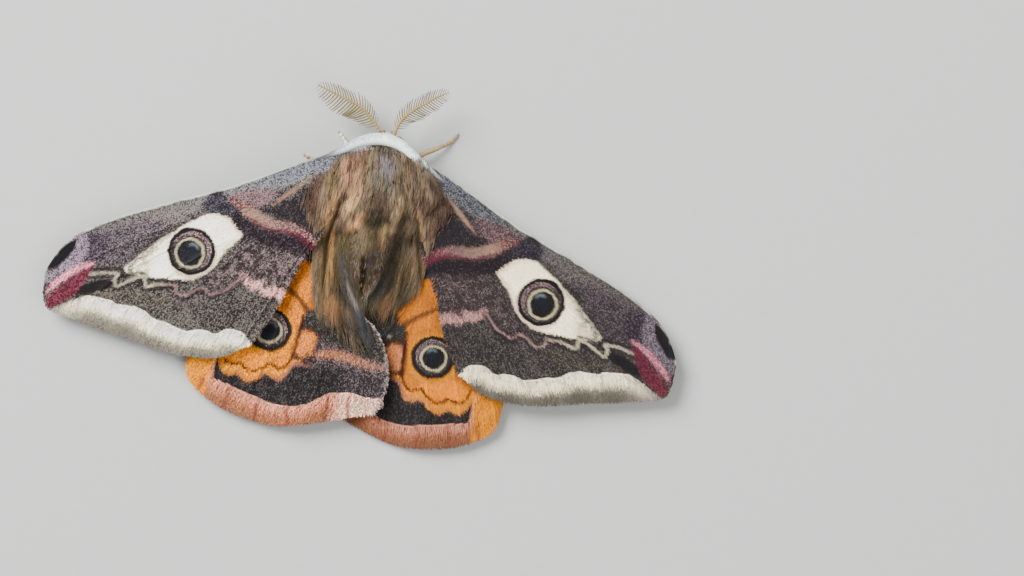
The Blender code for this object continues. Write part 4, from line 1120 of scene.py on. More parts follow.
def build_stage():
    look = bpy.context.scene.moth_stage
    floor = bpy.data.meshes.new("floor")
    made = bmesh.new()
    bmesh.ops.create_grid(made, x_segments=8, y_segments=8, size=0.6)
    made.to_mesh(floor)
    made.free()
    item = linked("floor", floor)
    paper, tree, shader = surface("floor paper", {"Roughness": 0.85, "Specular IOR Level": 0.1})
    where = out(tree.add("ShaderNodeTexCoord"), "Object")
    grains = tree.add("ShaderNodeTexNoise", {"Vector": where, "Scale": 900.0, "Detail": 4.0})
    shade = tree.add("ShaderNodeMix", {
        "Factor_Float": grains, "A_Color": (*look.floor_shade, 1.0),
        "B_Color": (*(0.94 * c for c in look.floor_shade), 1.0)}, data_type="RGBA")
    tree.wire(out(shade, "Result_Color"), shader.inputs["Base Color"])
    floor.materials.append(paper)

    world = bpy.data.worlds.new("studio")
    world.use_nodes = True
    sky = world.node_tree.nodes["Background"]
    sky.inputs["Color"].default_value = (1.0, 1.0, 1.0, 1.0)
    sky.inputs["Strength"].default_value = SKY_STRENGTH
    bpy.context.scene.world = world
    for name, place, size, power in LAMPS:
        lamp = bpy.data.lights.new(name, "AREA")
        lamp.shape = "DISK"
        lamp.size = size
        lamp.energy = power * look.light_power
        light = linked(name, lamp)
        light.location = place
        light.rotation_euler = (-Vector(place)).to_track_quat("-Z", "Y").to_euler()

    eye = bpy.data.cameras.new("camera")
    eye.sensor_width = 36.0
    eye.lens = eye.sensor_width * (look.camera_height / MM - WINGS_Z) / PICTURE_WIDTH
    eye.clip_start = 0.01
    eye.clip_end = 10.0
    camera = linked("camera", eye)
    centre = placed((*PICTURE_MIDDLE, 0.0))
    camera.location = (centre[0], centre[1], look.camera_height)
    camera.rotation_euler = (0.0, 0.0, PICTURE_TURN)
    bpy.context.scene.camera = camera


def body_section(y):
    """Half width, top and underside of the body at places along it."""
    line = curve(BODY, np.linspace(0, 1, 240))[::-1]
    return [np.interp(y, line[:, 0], line[:, i]) for i in (1, 2, 3)]


# Short hair's colours along the body's back, from the head to the abdomen's tip.
BACK_COLOURS = [
    (-10.5, (120, 92, 62)), (-8.5, (104, 84, 66)), (-6.0, (98, 84, 72)), (-4.0, (106, 88, 70)),
    (-3.0, (112, 88, 60)), (-1.0, (128, 112, 96)), (1.0, (150, 138, 130)), (3.0, (158, 144, 132)),
    (3.8, (190, 186, 182)), (4.3, (206, 208, 206)), (4.9, (196, 188, 172)), (5.3, (150, 128, 100)),
]
UNDER_COLOUR = (172, 150, 128)
BODY_ENDS_Z = 3.1
ABDOMEN_RING = 1.15  # length of each of the abdomen's rings


def body_skin(rows=150, around=72):
    """One closed skin over head, thorax and abdomen."""
    steps = np.linspace(0, 1, rows + 1)[1:-1]
    y = BODY[0][0] + (BODY[-1][0] - BODY[0][0]) * (steps - 0.035 * np.sin(2 * np.pi * steps))
    half, top, low = body_section(y)
    middle, rise = (top + low) / 2, (top - low) / 2
    rings = np.sin(2 * np.pi * (-3.6 - y) / ABDOMEN_RING) * fade(y, -3.2, -4.0) * 0.035
    half, rise = half * (1 + rings), rise * (1 + rings)
    turn = np.linspace(0, 2 * np.pi, around, endpoint=False)
    x = half[:, None] * np.sin(turn)[None, :]
    z = middle[:, None] + rise[:, None] * np.sign(np.cos(turn)) * np.abs(np.cos(turn)) ** 0.85
    points = np.stack((x, np.broadcast_to(y[:, None], x.shape), z), -1).reshape(-1, 3)
    points[:, 2] += 0.06 * (grain(points[:, :2], 0.7, 61) - 0.5)
    total = len(points)
    points = np.vstack((points, (0.0, BODY[0][0], BODY_ENDS_Z), (0.0, BODY[-1][0], BODY_ENDS_Z)))
    faces = []
    for i in range(rows - 2):
        for j in range(around):
            k = (j + 1) % around
            faces.append((i * around + j, (i + 1) * around + j, (i + 1) * around + k, i * around + k))
    last = (rows - 2) * around
    for j in range(around):
        k = (j + 1) % around
        faces.append((total, j, k))
        faces.append((total + 1, last + k, last + j))
    skin = mesh_piece("body_skin", points, faces, finish_of("body skin"))
    fix_outsides(skin)

    along = points[:, 1]
    under = fade(points[:, 2], 3.9, 2.9)
    shade = ramp(along, BACK_COLOURS) * (1 - under[:, None]) + colour(*UNDER_COLOUR) * under[:, None]
    mottle = grain(points[:, :2] + points[:, 2:], 0.5, 67)
    shade = shade * (0.8 + 0.4 * mottle)[:, None]
    outward = np.sign(points[:, 0]) * np.minimum(np.abs(points[:, 0]) / 3, 1)
    ahead = fade(along, 4.6, 5.2)
    angle = np.append(np.tile(turn / (2 * np.pi), rows - 1), (0.0, 0.0))
    ones = np.ones(total + 2)
    small = fade(along, 3.4, 4.4)
    values = {"tint": opaque(shade), "fleck_tint": opaque(shade * 1.5), "fleck": 0.3 * ones,
              "lie": np.column_stack((0.35 * outward, -1.0 + 1.6 * ahead, -0.25 * under)),
              "size": 1 - 0.55 * small, "girth": 1 - 0.3 * small, "raise": ones,
              "root_uv": np.column_stack((0.02 + 0.96 * angle, 0.02 + 0.06 * (5.55 - along), 0 * ones)),
              "cover": ones * (1 - 0.35 * under)}
    for key, value in values.items():
        store(skin.data, key, value)
    unwrap(skin.data, values["root_uv"])
    layer = skin.data.uv_layers["OFBake"]
    for polygon in skin.data.polygons:
        corners = [layer.uv[loop].vector.x for loop in polygon.loop_indices]
        if max(corners) - min(corners) > 0.5:
            for loop in polygon.loop_indices:
                vertex = skin.data.loops[loop].vertex_index
                if layer.uv[loop].vector.x < 0.5:
                    layer.uv[loop].vector.x = 0.98 if vertex < total else 0.94
    return skin


def build_body():
    skin = body_skin()
    deliver(skin, "tan_fur", "thorax", "abdomen", "head")


def build_coat():
    """Short hair all over the body, smallest on the head."""
    look = bpy.context.scene.moth_coat
    coat = grown("body_coat", bpy.data.objects["body_skin"], coat_tree(), {
        "Density": look.coat_density / MM ** 2, "Length": look.coat_length, "Width": 0.00007, "Lift": 0.35,
        "Curl": -0.25, "Spread": 0.35, "Taper": 0.9, "Belly": 0.8, "Rows": 4, "Shade": 0.25, "Seed": 201,
        "Finish": finish_of("moth hair")})
    unwrap_tufts(coat)
    deliver(coat, "tan_fur")


# Long hair over the middle of the moth: how it lies, where it is rooted and how it is coloured.
HAIR_LIE = [
    [(-4.69, 2.35), (-5.02, -0.23), (-5.08, -3.27), (-5.07, -6.8), (-4.69, -10.79)],
    [(-3.86, 2.87), (-4.09, -0.39), (-4.42, -3.68), (-4.46, -7.52), (-4.12, -11.21)],
    [(-2.95, 3.61), (-3.09, 1.07), (-3.29, -1.69), (-3.81, -4.4), (-3.74, -7.62), (-3.36, -11.61),
    (-2.56, -15.03)],
    [(-2.01, 4.05), (-2, 1.22), (-2.46, -1.87), (-2.81, -4.96), (-2.48, -7.94), (-1.35, -10.81),
    (0.03, -13.34), (1.75, -16.12)],
    [(-1.21, 4.17), (-1.13, 0.85), (-1.49, -2.24), (-1.65, -5.29), (-1.19, -7.75), (-0.24, -10.14),
    (0.87, -12.2), (2.29, -15.03)],
    [(-0.13, 4.33), (0.25, 1.05), (0.09, -2.01), (-0.24, -4.58), (-0.15, -6.59), (-0.18, -9.12),
    (-0.02, -11.62), (1.28, -14.97)],
    [(1.06, 4.5), (1.83, 1.28), (2.31, -1.28), (1.79, -3.98), (1.25, -6.49), (0.83, -9.18), (-0.06, -11.33)],
    [(2.29, 4.38), (3.12, 1.47), (3.38, -1.02), (2.88, -3.82), (2.64, -6.29), (2.19, -8.78), (1.15, -11.35)],
    [(3.17, 3.9), (4.18, 1.12), (4.15, -1.42), (3.92, -3.98), (3.91, -6.71), (3.55, -9.08), (2.74, -12.54)],
    [(4.08, 3.22), (5.15, 0.75), (5.01, -1.8), (5.27, -4.28), (5.49, -6.47), (5.23, -8.84), (4.32, -12.3)],
    [(4.98, 2.55), (6.31, 0.41), (6.4, -1.59), (5.97, -4.18), (6.09, -6.39)],
]
MANTLE_AREA = [
    (-4.98, 2.3), (-3.49, 3.84), (-1.97, 4.46), (-0.2, 4.82), (1.43, 4.76), (3.13, 4.2), (4.98, 2.55),
    (5.7, 0.5), (4.7, -0.9), (3.75, -0.77), (2.34, -1.48), (0.33, -1.57), (-1.62, -2.06), (-3.22, -1.48),
    (-4.59, -2.49), (-5.61, -2.44), (-5.42, -0.29),
]
BACK_AREA = [
    (-5.59, -1.83), (-3.34, -0.69), (0.16, -0.38), (2.63, -0.02), (5.23, -0.55), (5.35, -2.76),
    (5.41, -5.88), (3.09, -6.62), (0.03, -6.46), (-2.85, -7.49), (-5.18, -7.43), (-5.63, -4.36),
]
STREAM_AREA = [
    (-5.37, -5.43), (-2.67, -5.24), (0.09, -5.44), (3.29, -4.57), (5.12, -3.9), (5.55, -6.87),
    (4.42, -8.85), (2.36, -9.96), (0.36, -10.05), (-0.6, -11.81), (-1.72, -11.77), (-3.09, -11.37),
    (-4.79, -10.8), (-5.39, -8.06),
]
LOBE_AREA = [
    (-4.56, -10.97), (-2.42, -10.46), (-0.65, -10.81), (1.03, -14), (-0.59, -14.64), (-2.35, -13.68),
    (-4.02, -13.32),
]
ROOT_AREAS = [[(4.7, 2.4), (6.3, 1.2), (7.3, -0.6), (6.7, -2.6), (5.4, -4.4), (4.5, -1.0)],
              [(-4.8, 2.2), (-6.1, 0.8), (-7.0, -0.9), (-6.5, -2.8), (-5.3, -3.8), (-4.7, -0.8)]]
HAIR_STROKES = [  # each a path, its half width, how soft its edge is, its colour and how far it covers
    # Red-brown hair at the wings' roots
    ([(6.0, 1.7), (6.9, 0.1), (6.8, -1.8), (6.0, -4.0)], 0.85, 0.5, (100, 72, 60), 0.95),
    ([(-6.2, 1.2), (-6.8, -0.6), (-6.4, -2.6), (-5.9, -4.0)], 0.85, 0.5, (106, 78, 62), 0.95),
    # Abdomen and its streams
    ([(0.47, -4.58), (0.9, -10.99), (2.24, -16.04)], 4.6, 1.2, (92, 78, 58), 1.0),
    ([(-4.62, -5.73), (-3.98, -12.2)], 0.9, 0.5, (128, 104, 68), 0.9),
    # Shoulders
    ([(-3.15, 3.58), (-2.52, 2.06), (-2.76, 0.2)], 1.1, 0.4, (166, 132, 106), 1.0),
    ([(-3.73, 2.69), (-3.57, 0.89), (-2.84, -0.62)], 0.4, 0.25, (190, 164, 136), 0.9),
    ([(-2.14, 1.51), (-2.08, -0.3), (-2.47, -1.78), (-3.02, -2.87)], 0.55, 0.3, (190, 166, 136), 0.9),
    ([(-1.41, 4.14), (-1.72, 2.78), (-1.6, 0.57)], 0.25, 0.2, (132, 104, 76), 0.8),
    ([(-1.18, 3.26), (-1.25, 1.64), (-1.15, 0.24)], 0.13, 0.1, (166, 154, 126), 0.8),
    ([(-4.35, 1.39), (-4.24, -0.01)], 0.4, 0.3, (122, 102, 66), 0.8),
    ([(-5.02, 0.48), (-5.02, -0.93)], 0.4, 0.3, (170, 150, 112), 0.8),
    ([(-0.87, 3.91), (0.19, 3.56), (1.12, 4.1)], 0.4, 0.25, (104, 98, 88), 0.9),
    ([(0.17, 2.96), (0.6, 2.11), (0.62, 1.3)], 0.75, 0.3, (154, 146, 146), 1.0),
    ([(-0.59, 1.94), (-0.1, -0.01)], 0.4, 0.3, (138, 132, 120), 0.8),
    ([(0.78, 0.92), (1.37, -0.41)], 0.6, 0.3, (146, 136, 122), 0.9),
    ([(1.43, 4.05), (1.82, 2.08), (2.36, -0.26)], 0.4, 0.2, (140, 124, 100), 0.9),
    ([(1.22, 3.41), (1.65, 1.86)], 0.12, 0.1, (164, 156, 138), 0.7),
    ([(2.45, 4), (2.75, 2.62)], 0.45, 0.3, (120, 98, 74), 0.9),
    ([(2.51, 2.19), (2.87, 0.42)], 0.3, 0.2, (156, 134, 104), 0.8),
    ([(3.24, 2.7), (3.89, 1.07), (3.81, -0.46)], 0.6, 0.3, (142, 120, 98), 0.9),
    ([(4.11, 3.02), (4.9, 1.73)], 0.5, 0.3, (140, 128, 110), 0.9),
    ([(4.82, 1.61), (5.64, 0.82), (6.21, -0.31)], 0.35, 0.25, (88, 70, 60), 0.9),
    ([(4.72, -0.52), (5.42, -1.84)], 0.9, 0.4, (108, 82, 68), 0.9),
    ([(4.39, 1.05), (5.26, -0.04)], 0.25, 0.15, (166, 140, 120), 0.8),
    ([(0, -0.71), (0.66, -1.72)], 0.9, 0.4, (122, 98, 80), 0.9),
    ([(-2.09, -0.91), (-2.54, -1.99), (-2.92, -2.85)], 0.4, 0.25, (204, 186, 156), 0.9),
    ([(1.87, -0.33), (2.39, -1.17), (2.12, -2.72), (1.81, -4.08)], 0.45, 0.25, (184, 166, 140), 0.9),
    # Whorl and waist
    ([(-0.49, -2.19), (0.47, -2.56), (0.29, -3.39)], 0.55, 0.3, (80, 68, 52), 0.9),
    # Painted highlight: a glint in the whorl.
    ([(0.04, -2.32), (0.26, -2.49)], 0.14, 0.1, (136, 134, 116), 0.7),
    ([(-1.29, -2.92), (-1.95, -3.92), (-2.38, -4.49)], 0.5, 0.3, (204, 180, 148), 0.95),
    ([(-0.91, -4.17), (-0.89, -5.69), (-0.53, -6.75)], 0.7, 0.4, (150, 128, 98), 0.9),
    ([(-0.14, -3.86), (0.02, -5.66)], 0.25, 0.2, (120, 102, 68), 0.8),
    ([(1.21, -3.46), (1.16, -4.48), (1.36, -5.86)], 0.32, 0.2, (182, 160, 118), 0.9),
    ([(0.61, -4.16), (0.97, -5.92)], 0.18, 0.12, (136, 100, 70), 0.8),
    ([(1.98, -4.56), (1.73, -6.32)], 0.4, 0.25, (134, 112, 92), 0.8),
    ([(3.19, -1.76), (2.82, -3.43), (2.59, -5.28), (2.55, -7.11)], 0.5, 0.3, (86, 72, 54), 0.9),
    ([(3.24, -4.18), (3.36, -6.38)], 0.4, 0.25, (102, 90, 66), 0.8),
    ([(3.73, -2.69), (4, -5.28)], 0.4, 0.25, (98, 80, 58), 0.8),
    # Painted shadow in the valley between the body's hair and the right wing's base.
    ([(3.61, -0.48), (4.22, -1.91), (4.51, -3.89), (5, -6.55), (5.64, -8.88)],
     0.25, 0.15, (70, 52, 28), 0.9),
    ([(4.02, -1.23), (4.77, -2.94), (5.26, -4.89), (5.65, -6.86)], 0.2, 0.12, (174, 148, 114), 0.9),
    # Painted shadow in the valley between the body's hair and the left wing's base.
    ([(-3.07, -1.15), (-3.73, -2.16), (-3.96, -3.31), (-4.23, -4.26), (-4.39, -5.9), (-4.3, -7.9),
      (-4.15, -10.31)], 0.26, 0.15, (66, 48, 22), 0.95),
    ([(-4.06, -0.59), (-4.43, -2.16), (-4.68, -3.92), (-4.95, -5.57)], 0.4, 0.25, (182, 153, 112), 0.9),
    # Streams
    ([(-3.95, -4.82), (-3.88, -6.63), (-3.38, -9.39)], 0.22, 0.12, (178, 142, 88), 0.95),
    ([(-4.01, -7.86), (-3.82, -9.85), (-3.43, -11.82)], 0.15, 0.08, (178, 148, 104), 0.9),
    ([(-3.55, -4.76), (-3.24, -7.55), (-2.74, -10.3)], 0.2, 0.12, (102, 82, 46), 0.9),
    ([(-2.93, -4.87), (-2.61, -7.05)], 0.35, 0.2, (124, 108, 66), 0.9),
    ([(-2.26, -4.57), (-1.78, -6.52)], 0.3, 0.2, (122, 104, 68), 0.9),
    ([(3.95, -6.3), (4.2, -8.68)], 0.35, 0.2, (112, 82, 60), 0.9),
    ([(4.45, -6.22), (4.56, -8.43)], 0.14, 0.08, (136, 110, 78), 0.9),
    ([(3.37, -7.19), (3.17, -9.24), (3, -10.88)], 0.15, 0.08, (134, 106, 74), 0.9),
    ([(3.65, -8.36), (3.51, -10.2)], 0.15, 0.08, (64, 46, 22), 0.9),
    ([(-2.84, -6.88), (-2.25, -8.82), (-1.72, -10.36), (-0.7, -11.82), (0.38, -13.69), (1.36, -15.57)],
     0.45, 0.2, (98, 88, 84), 0.95),
    ([(-1.81, -9.76), (-1.11, -11.08), (-0.2, -12.46)], 0.22, 0.1, (150, 140, 130), 0.95),
    ([(-1.14, -7.44), (-0.61, -8.98)], 0.12, 0.06, (140, 122, 96), 0.9),
    ([(-1.63, -7.51), (-1.12, -9.66)], 0.25, 0.12, (92, 80, 66), 0.8),
    # Painted shadow between the two streams of hair.
    ([(-0.6, -6.96), (-0.4, -8.34), (-0.31, -10.35)], 0.36, 0.16, (38, 30, 18), 1.0),
    ([(0.19, -6.84), (0.14, -7.86)], 0.5, 0.25, (70, 58, 56), 0.9),
    ([(1.25, -6.49), (1.06, -7.93)], 0.3, 0.2, (126, 106, 94), 0.9),
    ([(2.17, -7.97), (1.75, -9.24), (1.06, -10.76)], 0.45, 0.2, (74, 74, 66), 0.9),
    ([(2.75, -7.08), (2.59, -8.72), (2.19, -10.19)], 0.25, 0.12, (64, 54, 42), 0.9),
    # Painted highlight: a glint along one stream of hair.
    ([(1.23, -8.41), (0.86, -9.37), (0.26, -10.78)], 0.2, 0.08, (176, 172, 162), 1.0),
    ([(2.48, -10.75), (2.34, -12.59)], 0.8, 0.45, (138, 104, 70), 0.85),
    ([(3.93, -10.34), (3.73, -12.39)], 0.3, 0.2, (80, 68, 52), 0.8),
    ([(-3.29, -11.39), (-2.7, -13.33)], 0.8, 0.5, (166, 124, 80), 0.75),
    ([(-1.56, -12.15), (-0.78, -14.06)], 0.3, 0.15, (132, 112, 94), 0.9),
    ([(-0.32, -12.38), (0.41, -13.89), (1.36, -15.57)], 0.55, 0.2, (76, 78, 82), 0.9),
    ([(0.22, -11.89), (1.3, -13.76), (2.38, -15.62)], 0.22, 0.12, (60, 50, 34), 0.9),
    ([(-1.84, -13), (-1.64, -15.8)], 0.2, 0.12, (76, 58, 36), 0.9),
    ([(-1.07, -14.1), (-0.67, -15.46)], 0.4, 0.2, (126, 106, 94), 0.8),
    ([(-3.76, -13.69), (-3.42, -16.06)], 0.6, 0.3, (72, 68, 58), 0.9),
]
HAIR_GROUND = (158, 137, 112)
LIGHTEST_HAIR = 0.95
HAIR_BLEND = 1.35  # how much softer than given the hair's colours run into each other


def read_grid(values, low, cell, xy):
    """What a grid holds at plan points, read between its cells."""
    place = np.clip((xy - low) / cell, 0, np.array(values.shape[:2]) - 1.001)
    base = place.astype(int)
    i, j = base[..., 0], base[..., 1]
    u, v = np.moveaxis(place - base, -1, 0)
    if values.ndim == 3:
        u, v = u[..., None], v[..., None]
    return ((1 - u) * (1 - v) * values[i, j] + u * (1 - v) * values[i + 1, j] + (1 - u) * v * values[i, j + 1]
            + u * v * values[i + 1, j + 1])


class Comb:
    """Over the middle of the moth: the height under the long hair, the way it lies and its colours."""

    names = ("body_skin", "forewing_left_membrane", "forewing_right_membrane", "hindwing_left_membrane",
             "hindwing_right_membrane")
    low, high = np.array((-8.0, -18.0)), np.array((8.0, 7.5))
    level_cell, tint_cell = 0.25, 0.08

    def __init__(self):
        self.level = self.found_level()
        self.tints = self.painted()
        lines = [curve(path, np.linspace(0, 1, 30)) for path in HAIR_LIE]
        self.spots = np.vstack(lines)
        ways = np.vstack([np.gradient(line, axis=0) for line in lines])
        self.ways = ways / np.linalg.norm(ways, axis=1)[:, None]

    def found_level(self):
        """Height of the wings and body, with the gaps between them closed and smoothed."""
        graph = bpy.context.evaluated_depsgraph_get()
        trees = [BVHTree.FromObject(bpy.data.objects[name], graph) for name in self.names]
        size = ((self.high - self.low) / self.level_cell).astype(int) + 1
        level = np.full(size, 0.6)
        for i, j in np.ndindex(*size):
            start = placed((*(self.low + self.level_cell * np.array((i, j))), 20.0))
            for tree in trees:
                hit = tree.ray_cast(Vector(start), Vector((0, 0, -1)))[0]
                if hit is not None:
                    level[i, j] = max(level[i, j], hit.z / MM)
        for reduce in (np.max,) * 6 + (np.min,) * 6 + (np.mean,) * 3:
            padded = np.pad(level, 1, mode="edge")
            near = [padded[i:i + size[0], j:j + size[1]] for i in range(3) for j in range(3)]
            level = reduce(near, axis=0)
        return level

    def painted(self):
        across, along = (np.arange(a, b, self.tint_cell) for a, b in zip(self.low, self.high))
        grid = np.stack(np.meshgrid(across, along, indexing="ij"), -1)
        paint = Paint(grid.reshape(-1, 2), HAIR_GROUND, HAIR_GROUND, 0.0)
        for path, half, soft, tint, cover in HAIR_STROKES:
            paint.stroke(path, [0.6 * half, half, half, 0.5 * half], HAIR_BLEND * soft, tint, strength=cover)
        soft = 0.95 * paint.ground + 0.07 * paint.ground.mean(1)[:, None]
        return soft.reshape(*grid.shape[:2], 3)

    def height(self, xy):
        return read_grid(self.level, self.low, self.level_cell, xy)

    def tint(self, xy):
        return read_grid(self.tints, self.low, self.tint_cell, xy)

    def lie(self, xy):
        away = ((xy[:, None, :] - self.spots[None]) ** 2).sum(2)
        way = (1 / (away + 0.04) ** 2) @ self.ways
        return way / np.linalg.norm(way, axis=1)[:, None]


def hair_strands(name, paths, widths, tints, roots, finish):
    """Closed three-sided strands that taper to a point, from their paths in millimetres.

    Tints are one for each strand, or one for each knot of each strand.
    """
    count, knots = paths.shape[:2]
    if tints.ndim == 2:
        tints = np.repeat(tints[:, None], knots, axis=1)
    ahead = np.gradient(paths, axis=1)
    ahead /= np.maximum(np.linalg.norm(ahead, axis=2), 1e-9)[..., None]
    across = np.cross(ahead, (0.0, 0.0, 1.0))
    across /= np.maximum(np.linalg.norm(across, axis=2), 1e-9)[..., None]
    up = np.cross(across, ahead)
    t = np.linspace(0, 1, knots)
    radius = widths[:, None] / 2 * np.minimum(1.0, 0.55 + 1.6 * t) * (1 - t ** 2.2)
    corners = []
    for turn in (0.5, 0.5 + 2 / 3, 0.5 + 4 / 3):
        offset = across * math.cos(turn * math.pi) + up * 0.6 * math.sin(turn * math.pi)
        corners.append(paths[:, :-1] + offset[:, :-1] * radius[:, :-1, None])
    rings = np.stack(corners, axis=2).reshape(count, (knots - 1) * 3, 3)
    points = np.concatenate((rings, paths[:, -1:]), axis=1)
    each = (knots - 1) * 3 + 1
    quads, ends = [], []
    for i in range(knots - 2):
        for j in range(3):
            k = (j + 1) % 3
            quads.append((3 * i + j, 3 * i + k, 3 * i + 3 + k, 3 * i + 3 + j))
    for j in range(3):
        ends.append((3 * (knots - 2) + j, 3 * (knots - 2) + (j + 1) % 3, each - 1))
    ends.append((0, 2, 1))
    start = (np.arange(count) * each)[:, None, None]
    faces = (np.array(quads)[None] + start).reshape(-1, 4).tolist()
    faces += (np.array(ends)[None] + start).reshape(-1, 3).tolist()
    piece = mesh_piece(name, points.reshape(-1, 3), faces, finish)
    per_strand = np.repeat(np.arange(count), each)
    along = np.tile(np.append(np.repeat(t[:-1], 3), 1.0), count)
    side = np.tile(np.append(np.tile((-0.5, 0.0, 0.5), knots - 1), 0.0), count)
    shades = np.concatenate((np.repeat(tints[:, :-1], 3, axis=1), tints[:, -1:]), axis=1).reshape(-1, 3)
    store(piece.data, "tint", opaque(shades))
    store(piece.data, "tuft", np.column_stack((side, along, 0 * along)))
    store(piece.data, "root_uv", np.column_stack((np.clip(roots, 0.01, 0.99)[per_strand], 0 * along)))
    unwrap_tufts(piece)
    return piece


def combed(comb, rng, area, locks, strands, length, knots=6, width=0.055, loft=0.6, rise=(0.05, 0.6),
           lowest=0.0, spread=0.17, clump=0.45):
    """Strands in locks, rooted all over an area, that follow the lie of the hair and take its colours."""
    outline = np.array(area)
    tries = rng.uniform(outline.min(0), outline.max(0), (locks * 6, 2))
    core = tries[inside_depth(tries, outline) > 0][:locks]
    locks = len(core)
    t = np.linspace(0, 1, knots)
    step = rng.uniform(*length, locks)[:, None] / (knots - 1)
    bend = rng.normal(0, 0.08, (locks, 1))
    cores = [core]
    for _ in t[1:]:
        way = comb.lie(core)
        core = core + step * (way + bend * np.column_stack((-way[:, 1], way[:, 0])))
        cores.append(core)
    cores = np.stack(cores, axis=1)

    total = locks * strands
    owner = np.repeat(np.arange(locks), strands)
    first = rng.uniform(0.0, 0.2, (total, 1))
    last = rng.uniform(0.7, 1.0, (total, 1))
    along = (first + (last - first) * t) * (knots - 1)
    knot = np.minimum(along.astype(int), knots - 2)
    part = (along - knot)[..., None]
    plan = cores[owner[:, None], knot] * (1 - part) + cores[owner[:, None], knot + 1] * part
    plan += rng.normal(0, spread, (total, 1, 2)) * (1 - clump * t ** 1.2)[None, :, None]
    plan += rng.normal(0, 0.06, (total, 1, 2)) * t[None, :, None]
    wave = rng.uniform(0, 2 * np.pi, (total, 1)) + t * rng.uniform(1.5, 5.0, (total, 1))
    plan[..., 0] += 0.04 * np.sin(wave) * t
    tints = comb.tint(plan)
    tints = 0.7 * tints + 0.3 * tints[:, knots // 2, None]

    brightness = np.bincount(owner, tints[:, knots // 2].mean(1)) / strands
    layer = rng.uniform(0, 1, locks) ** 1.3 * loft * (0.35 + 0.65 * fade(brightness, 0.02, 0.12))
    arch = rise[0] + (rise[1] - rise[0]) * np.sin(np.pi * (t * 0.78 + 0.05)) ** 0.8
    loose = (layer[owner] + rng.uniform(0, 0.12, total))[:, None]
    height = np.maximum(comb.height(plan), lowest) + loose * arch
    height += arch * 0.35
    height[:, 0] -= 0.15
    paths = np.concatenate((plan, height[..., None]), axis=2)
    lightness = (1 + rng.normal(0, 0.1, locks))[owner] * (1 + rng.normal(0, 0.15, total))
    tints = np.clip(tints * np.maximum(lightness, 0.35)[:, None, None], DARKEST, LIGHTEST_HAIR)
    return paths, width * rng.uniform(0.7, 1.3, total), tints


def strand_roots(paths):
    """Where the strands' roots stand on the body's unwrap."""
    return np.column_stack((0.5 + 0.055 * paths[:, 0, 0], 0.02 + 0.05 * (6.0 - paths[:, 0, 1])))


def joined_hair(name, parts, finish):
    """One piece of all the parts' strands, mapped by where their roots stand on the body's unwrap."""
    paths, widths, tints = (np.concatenate([part[i] for part in parts]) for i in range(3))
    return hair_strands(name, paths, widths, tints, strand_roots(paths), finish)


COLLAR_LINE = [
    (-6.6, 2.0, 4.6), (-5.2, 2.75, 4.72), (-3.9, 3.55, 4.85), (-2.8, 4.25, 4.95), (-1.5, 4.8, 5.05),
    (-0.1, 5.0, 5.1), (1.3, 4.75, 5.05), (2.6, 4.0, 4.95), (3.8, 3.2, 4.85), (5.2, 2.35, 4.72),
    (6.6, 1.6, 4.6),
]
COLLAR_RADII = (0.12, 0.26, 0.4, 0.52, 0.6, 0.62, 0.6, 0.52, 0.4, 0.26, 0.12)
COLLAR_TINTS = [
    (0.0, (104, 106, 112)), (0.1, (150, 152, 158)), (0.2, (206, 208, 210)), (0.5, (238, 241, 240)),
    (0.82, (222, 226, 226)), (0.92, (186, 190, 194)), (1.0, (104, 106, 112)),
]


def build_collar(strands=2400, knots=6):
    """White roll round the neck and over the wings' roots, of fine hair combed up and back over it."""
    rng = np.random.default_rng(304)
    places = np.linspace(0, 1, len(COLLAR_RADII))
    t = np.linspace(0, 1, 70)
    line = curve(COLLAR_LINE, t)
    radii = np.interp(t, places, COLLAR_RADII)
    points, faces = tube(line, radii * 0.92, 14)
    roll = mesh_piece("collar_roll", points, faces, finish_of("pale moth hair"))
    shades = ramp(t, COLLAR_TINTS)
    tint_piece(roll, np.vstack((np.repeat(shades, 14, axis=0), shades[:1], shades[-1:])))
    fix_outsides(roll)
    deliver(roll, "pale_fur")

    along = rng.uniform(0.0, 1.0, strands)
    sweep = np.linspace(0, 1, knots)[None, :]
    turn = (np.radians(rng.uniform(-150, 10, strands))[:, None]
            + np.radians(rng.uniform(60, 95, strands))[:, None] * sweep)
    spot = np.clip(along[:, None] + rng.normal(0, 0.012, strands)[:, None] * sweep, 0.0, 1.0)
    middle = curve(COLLAR_LINE, spot.ravel()).reshape(strands, knots, 3)
    step = curve(COLLAR_LINE, np.minimum(spot + 0.01, 1.0).ravel()).reshape(middle.shape) - curve(
        COLLAR_LINE, np.maximum(spot - 0.01, 0.0).ravel()).reshape(middle.shape)
    ahead = np.stack((-step[..., 1], step[..., 0], 0 * step[..., 0]), axis=-1)
    ahead /= np.linalg.norm(ahead, axis=2)[..., None]
    reach = np.interp(spot, places, COLLAR_RADII) * rng.uniform(0.92, 1.1, strands)[:, None]
    paths = middle + ahead * (reach * np.cos(turn))[..., None]
    paths[..., 2] += reach * np.sin(turn)
    tints = ramp(along, COLLAR_TINTS) * rng.uniform(0.86, 1.12, strands)[:, None]
    hair = hair_strands("collar_hair", paths, 0.075 * rng.uniform(0.7, 1.2, strands),
                        np.clip(tints, DARKEST, LIGHTEST_HAIR), strand_roots(paths),
                        finish_of("pale moth hair"))
    deliver(hair, "pale_fur")


def build_mantle():
    """Hair of the collar and the thorax."""
    build_collar()
    rng = np.random.default_rng(301)
    comb = Comb()
    thorax = combed(comb, rng, MANTLE_AREA, 680, 13, (1.5, 2.7), knots=5, width=0.046, loft=0.6,
                    rise=(0.1, 1.0), lowest=4.7)
    deliver(joined_hair("mantle_hair", [thorax], finish_of("moth hair")), "tan_fur")
    roots = [combed(comb, rng, area, 75, 10, (1.0, 1.9), knots=5, width=0.042, loft=0.1, rise=(0.03, 0.4),
                    spread=0.24) for area in ROOT_AREAS]
    deliver(joined_hair("wing_root_hair", roots, finish_of("moth hair")), "brown_fur")


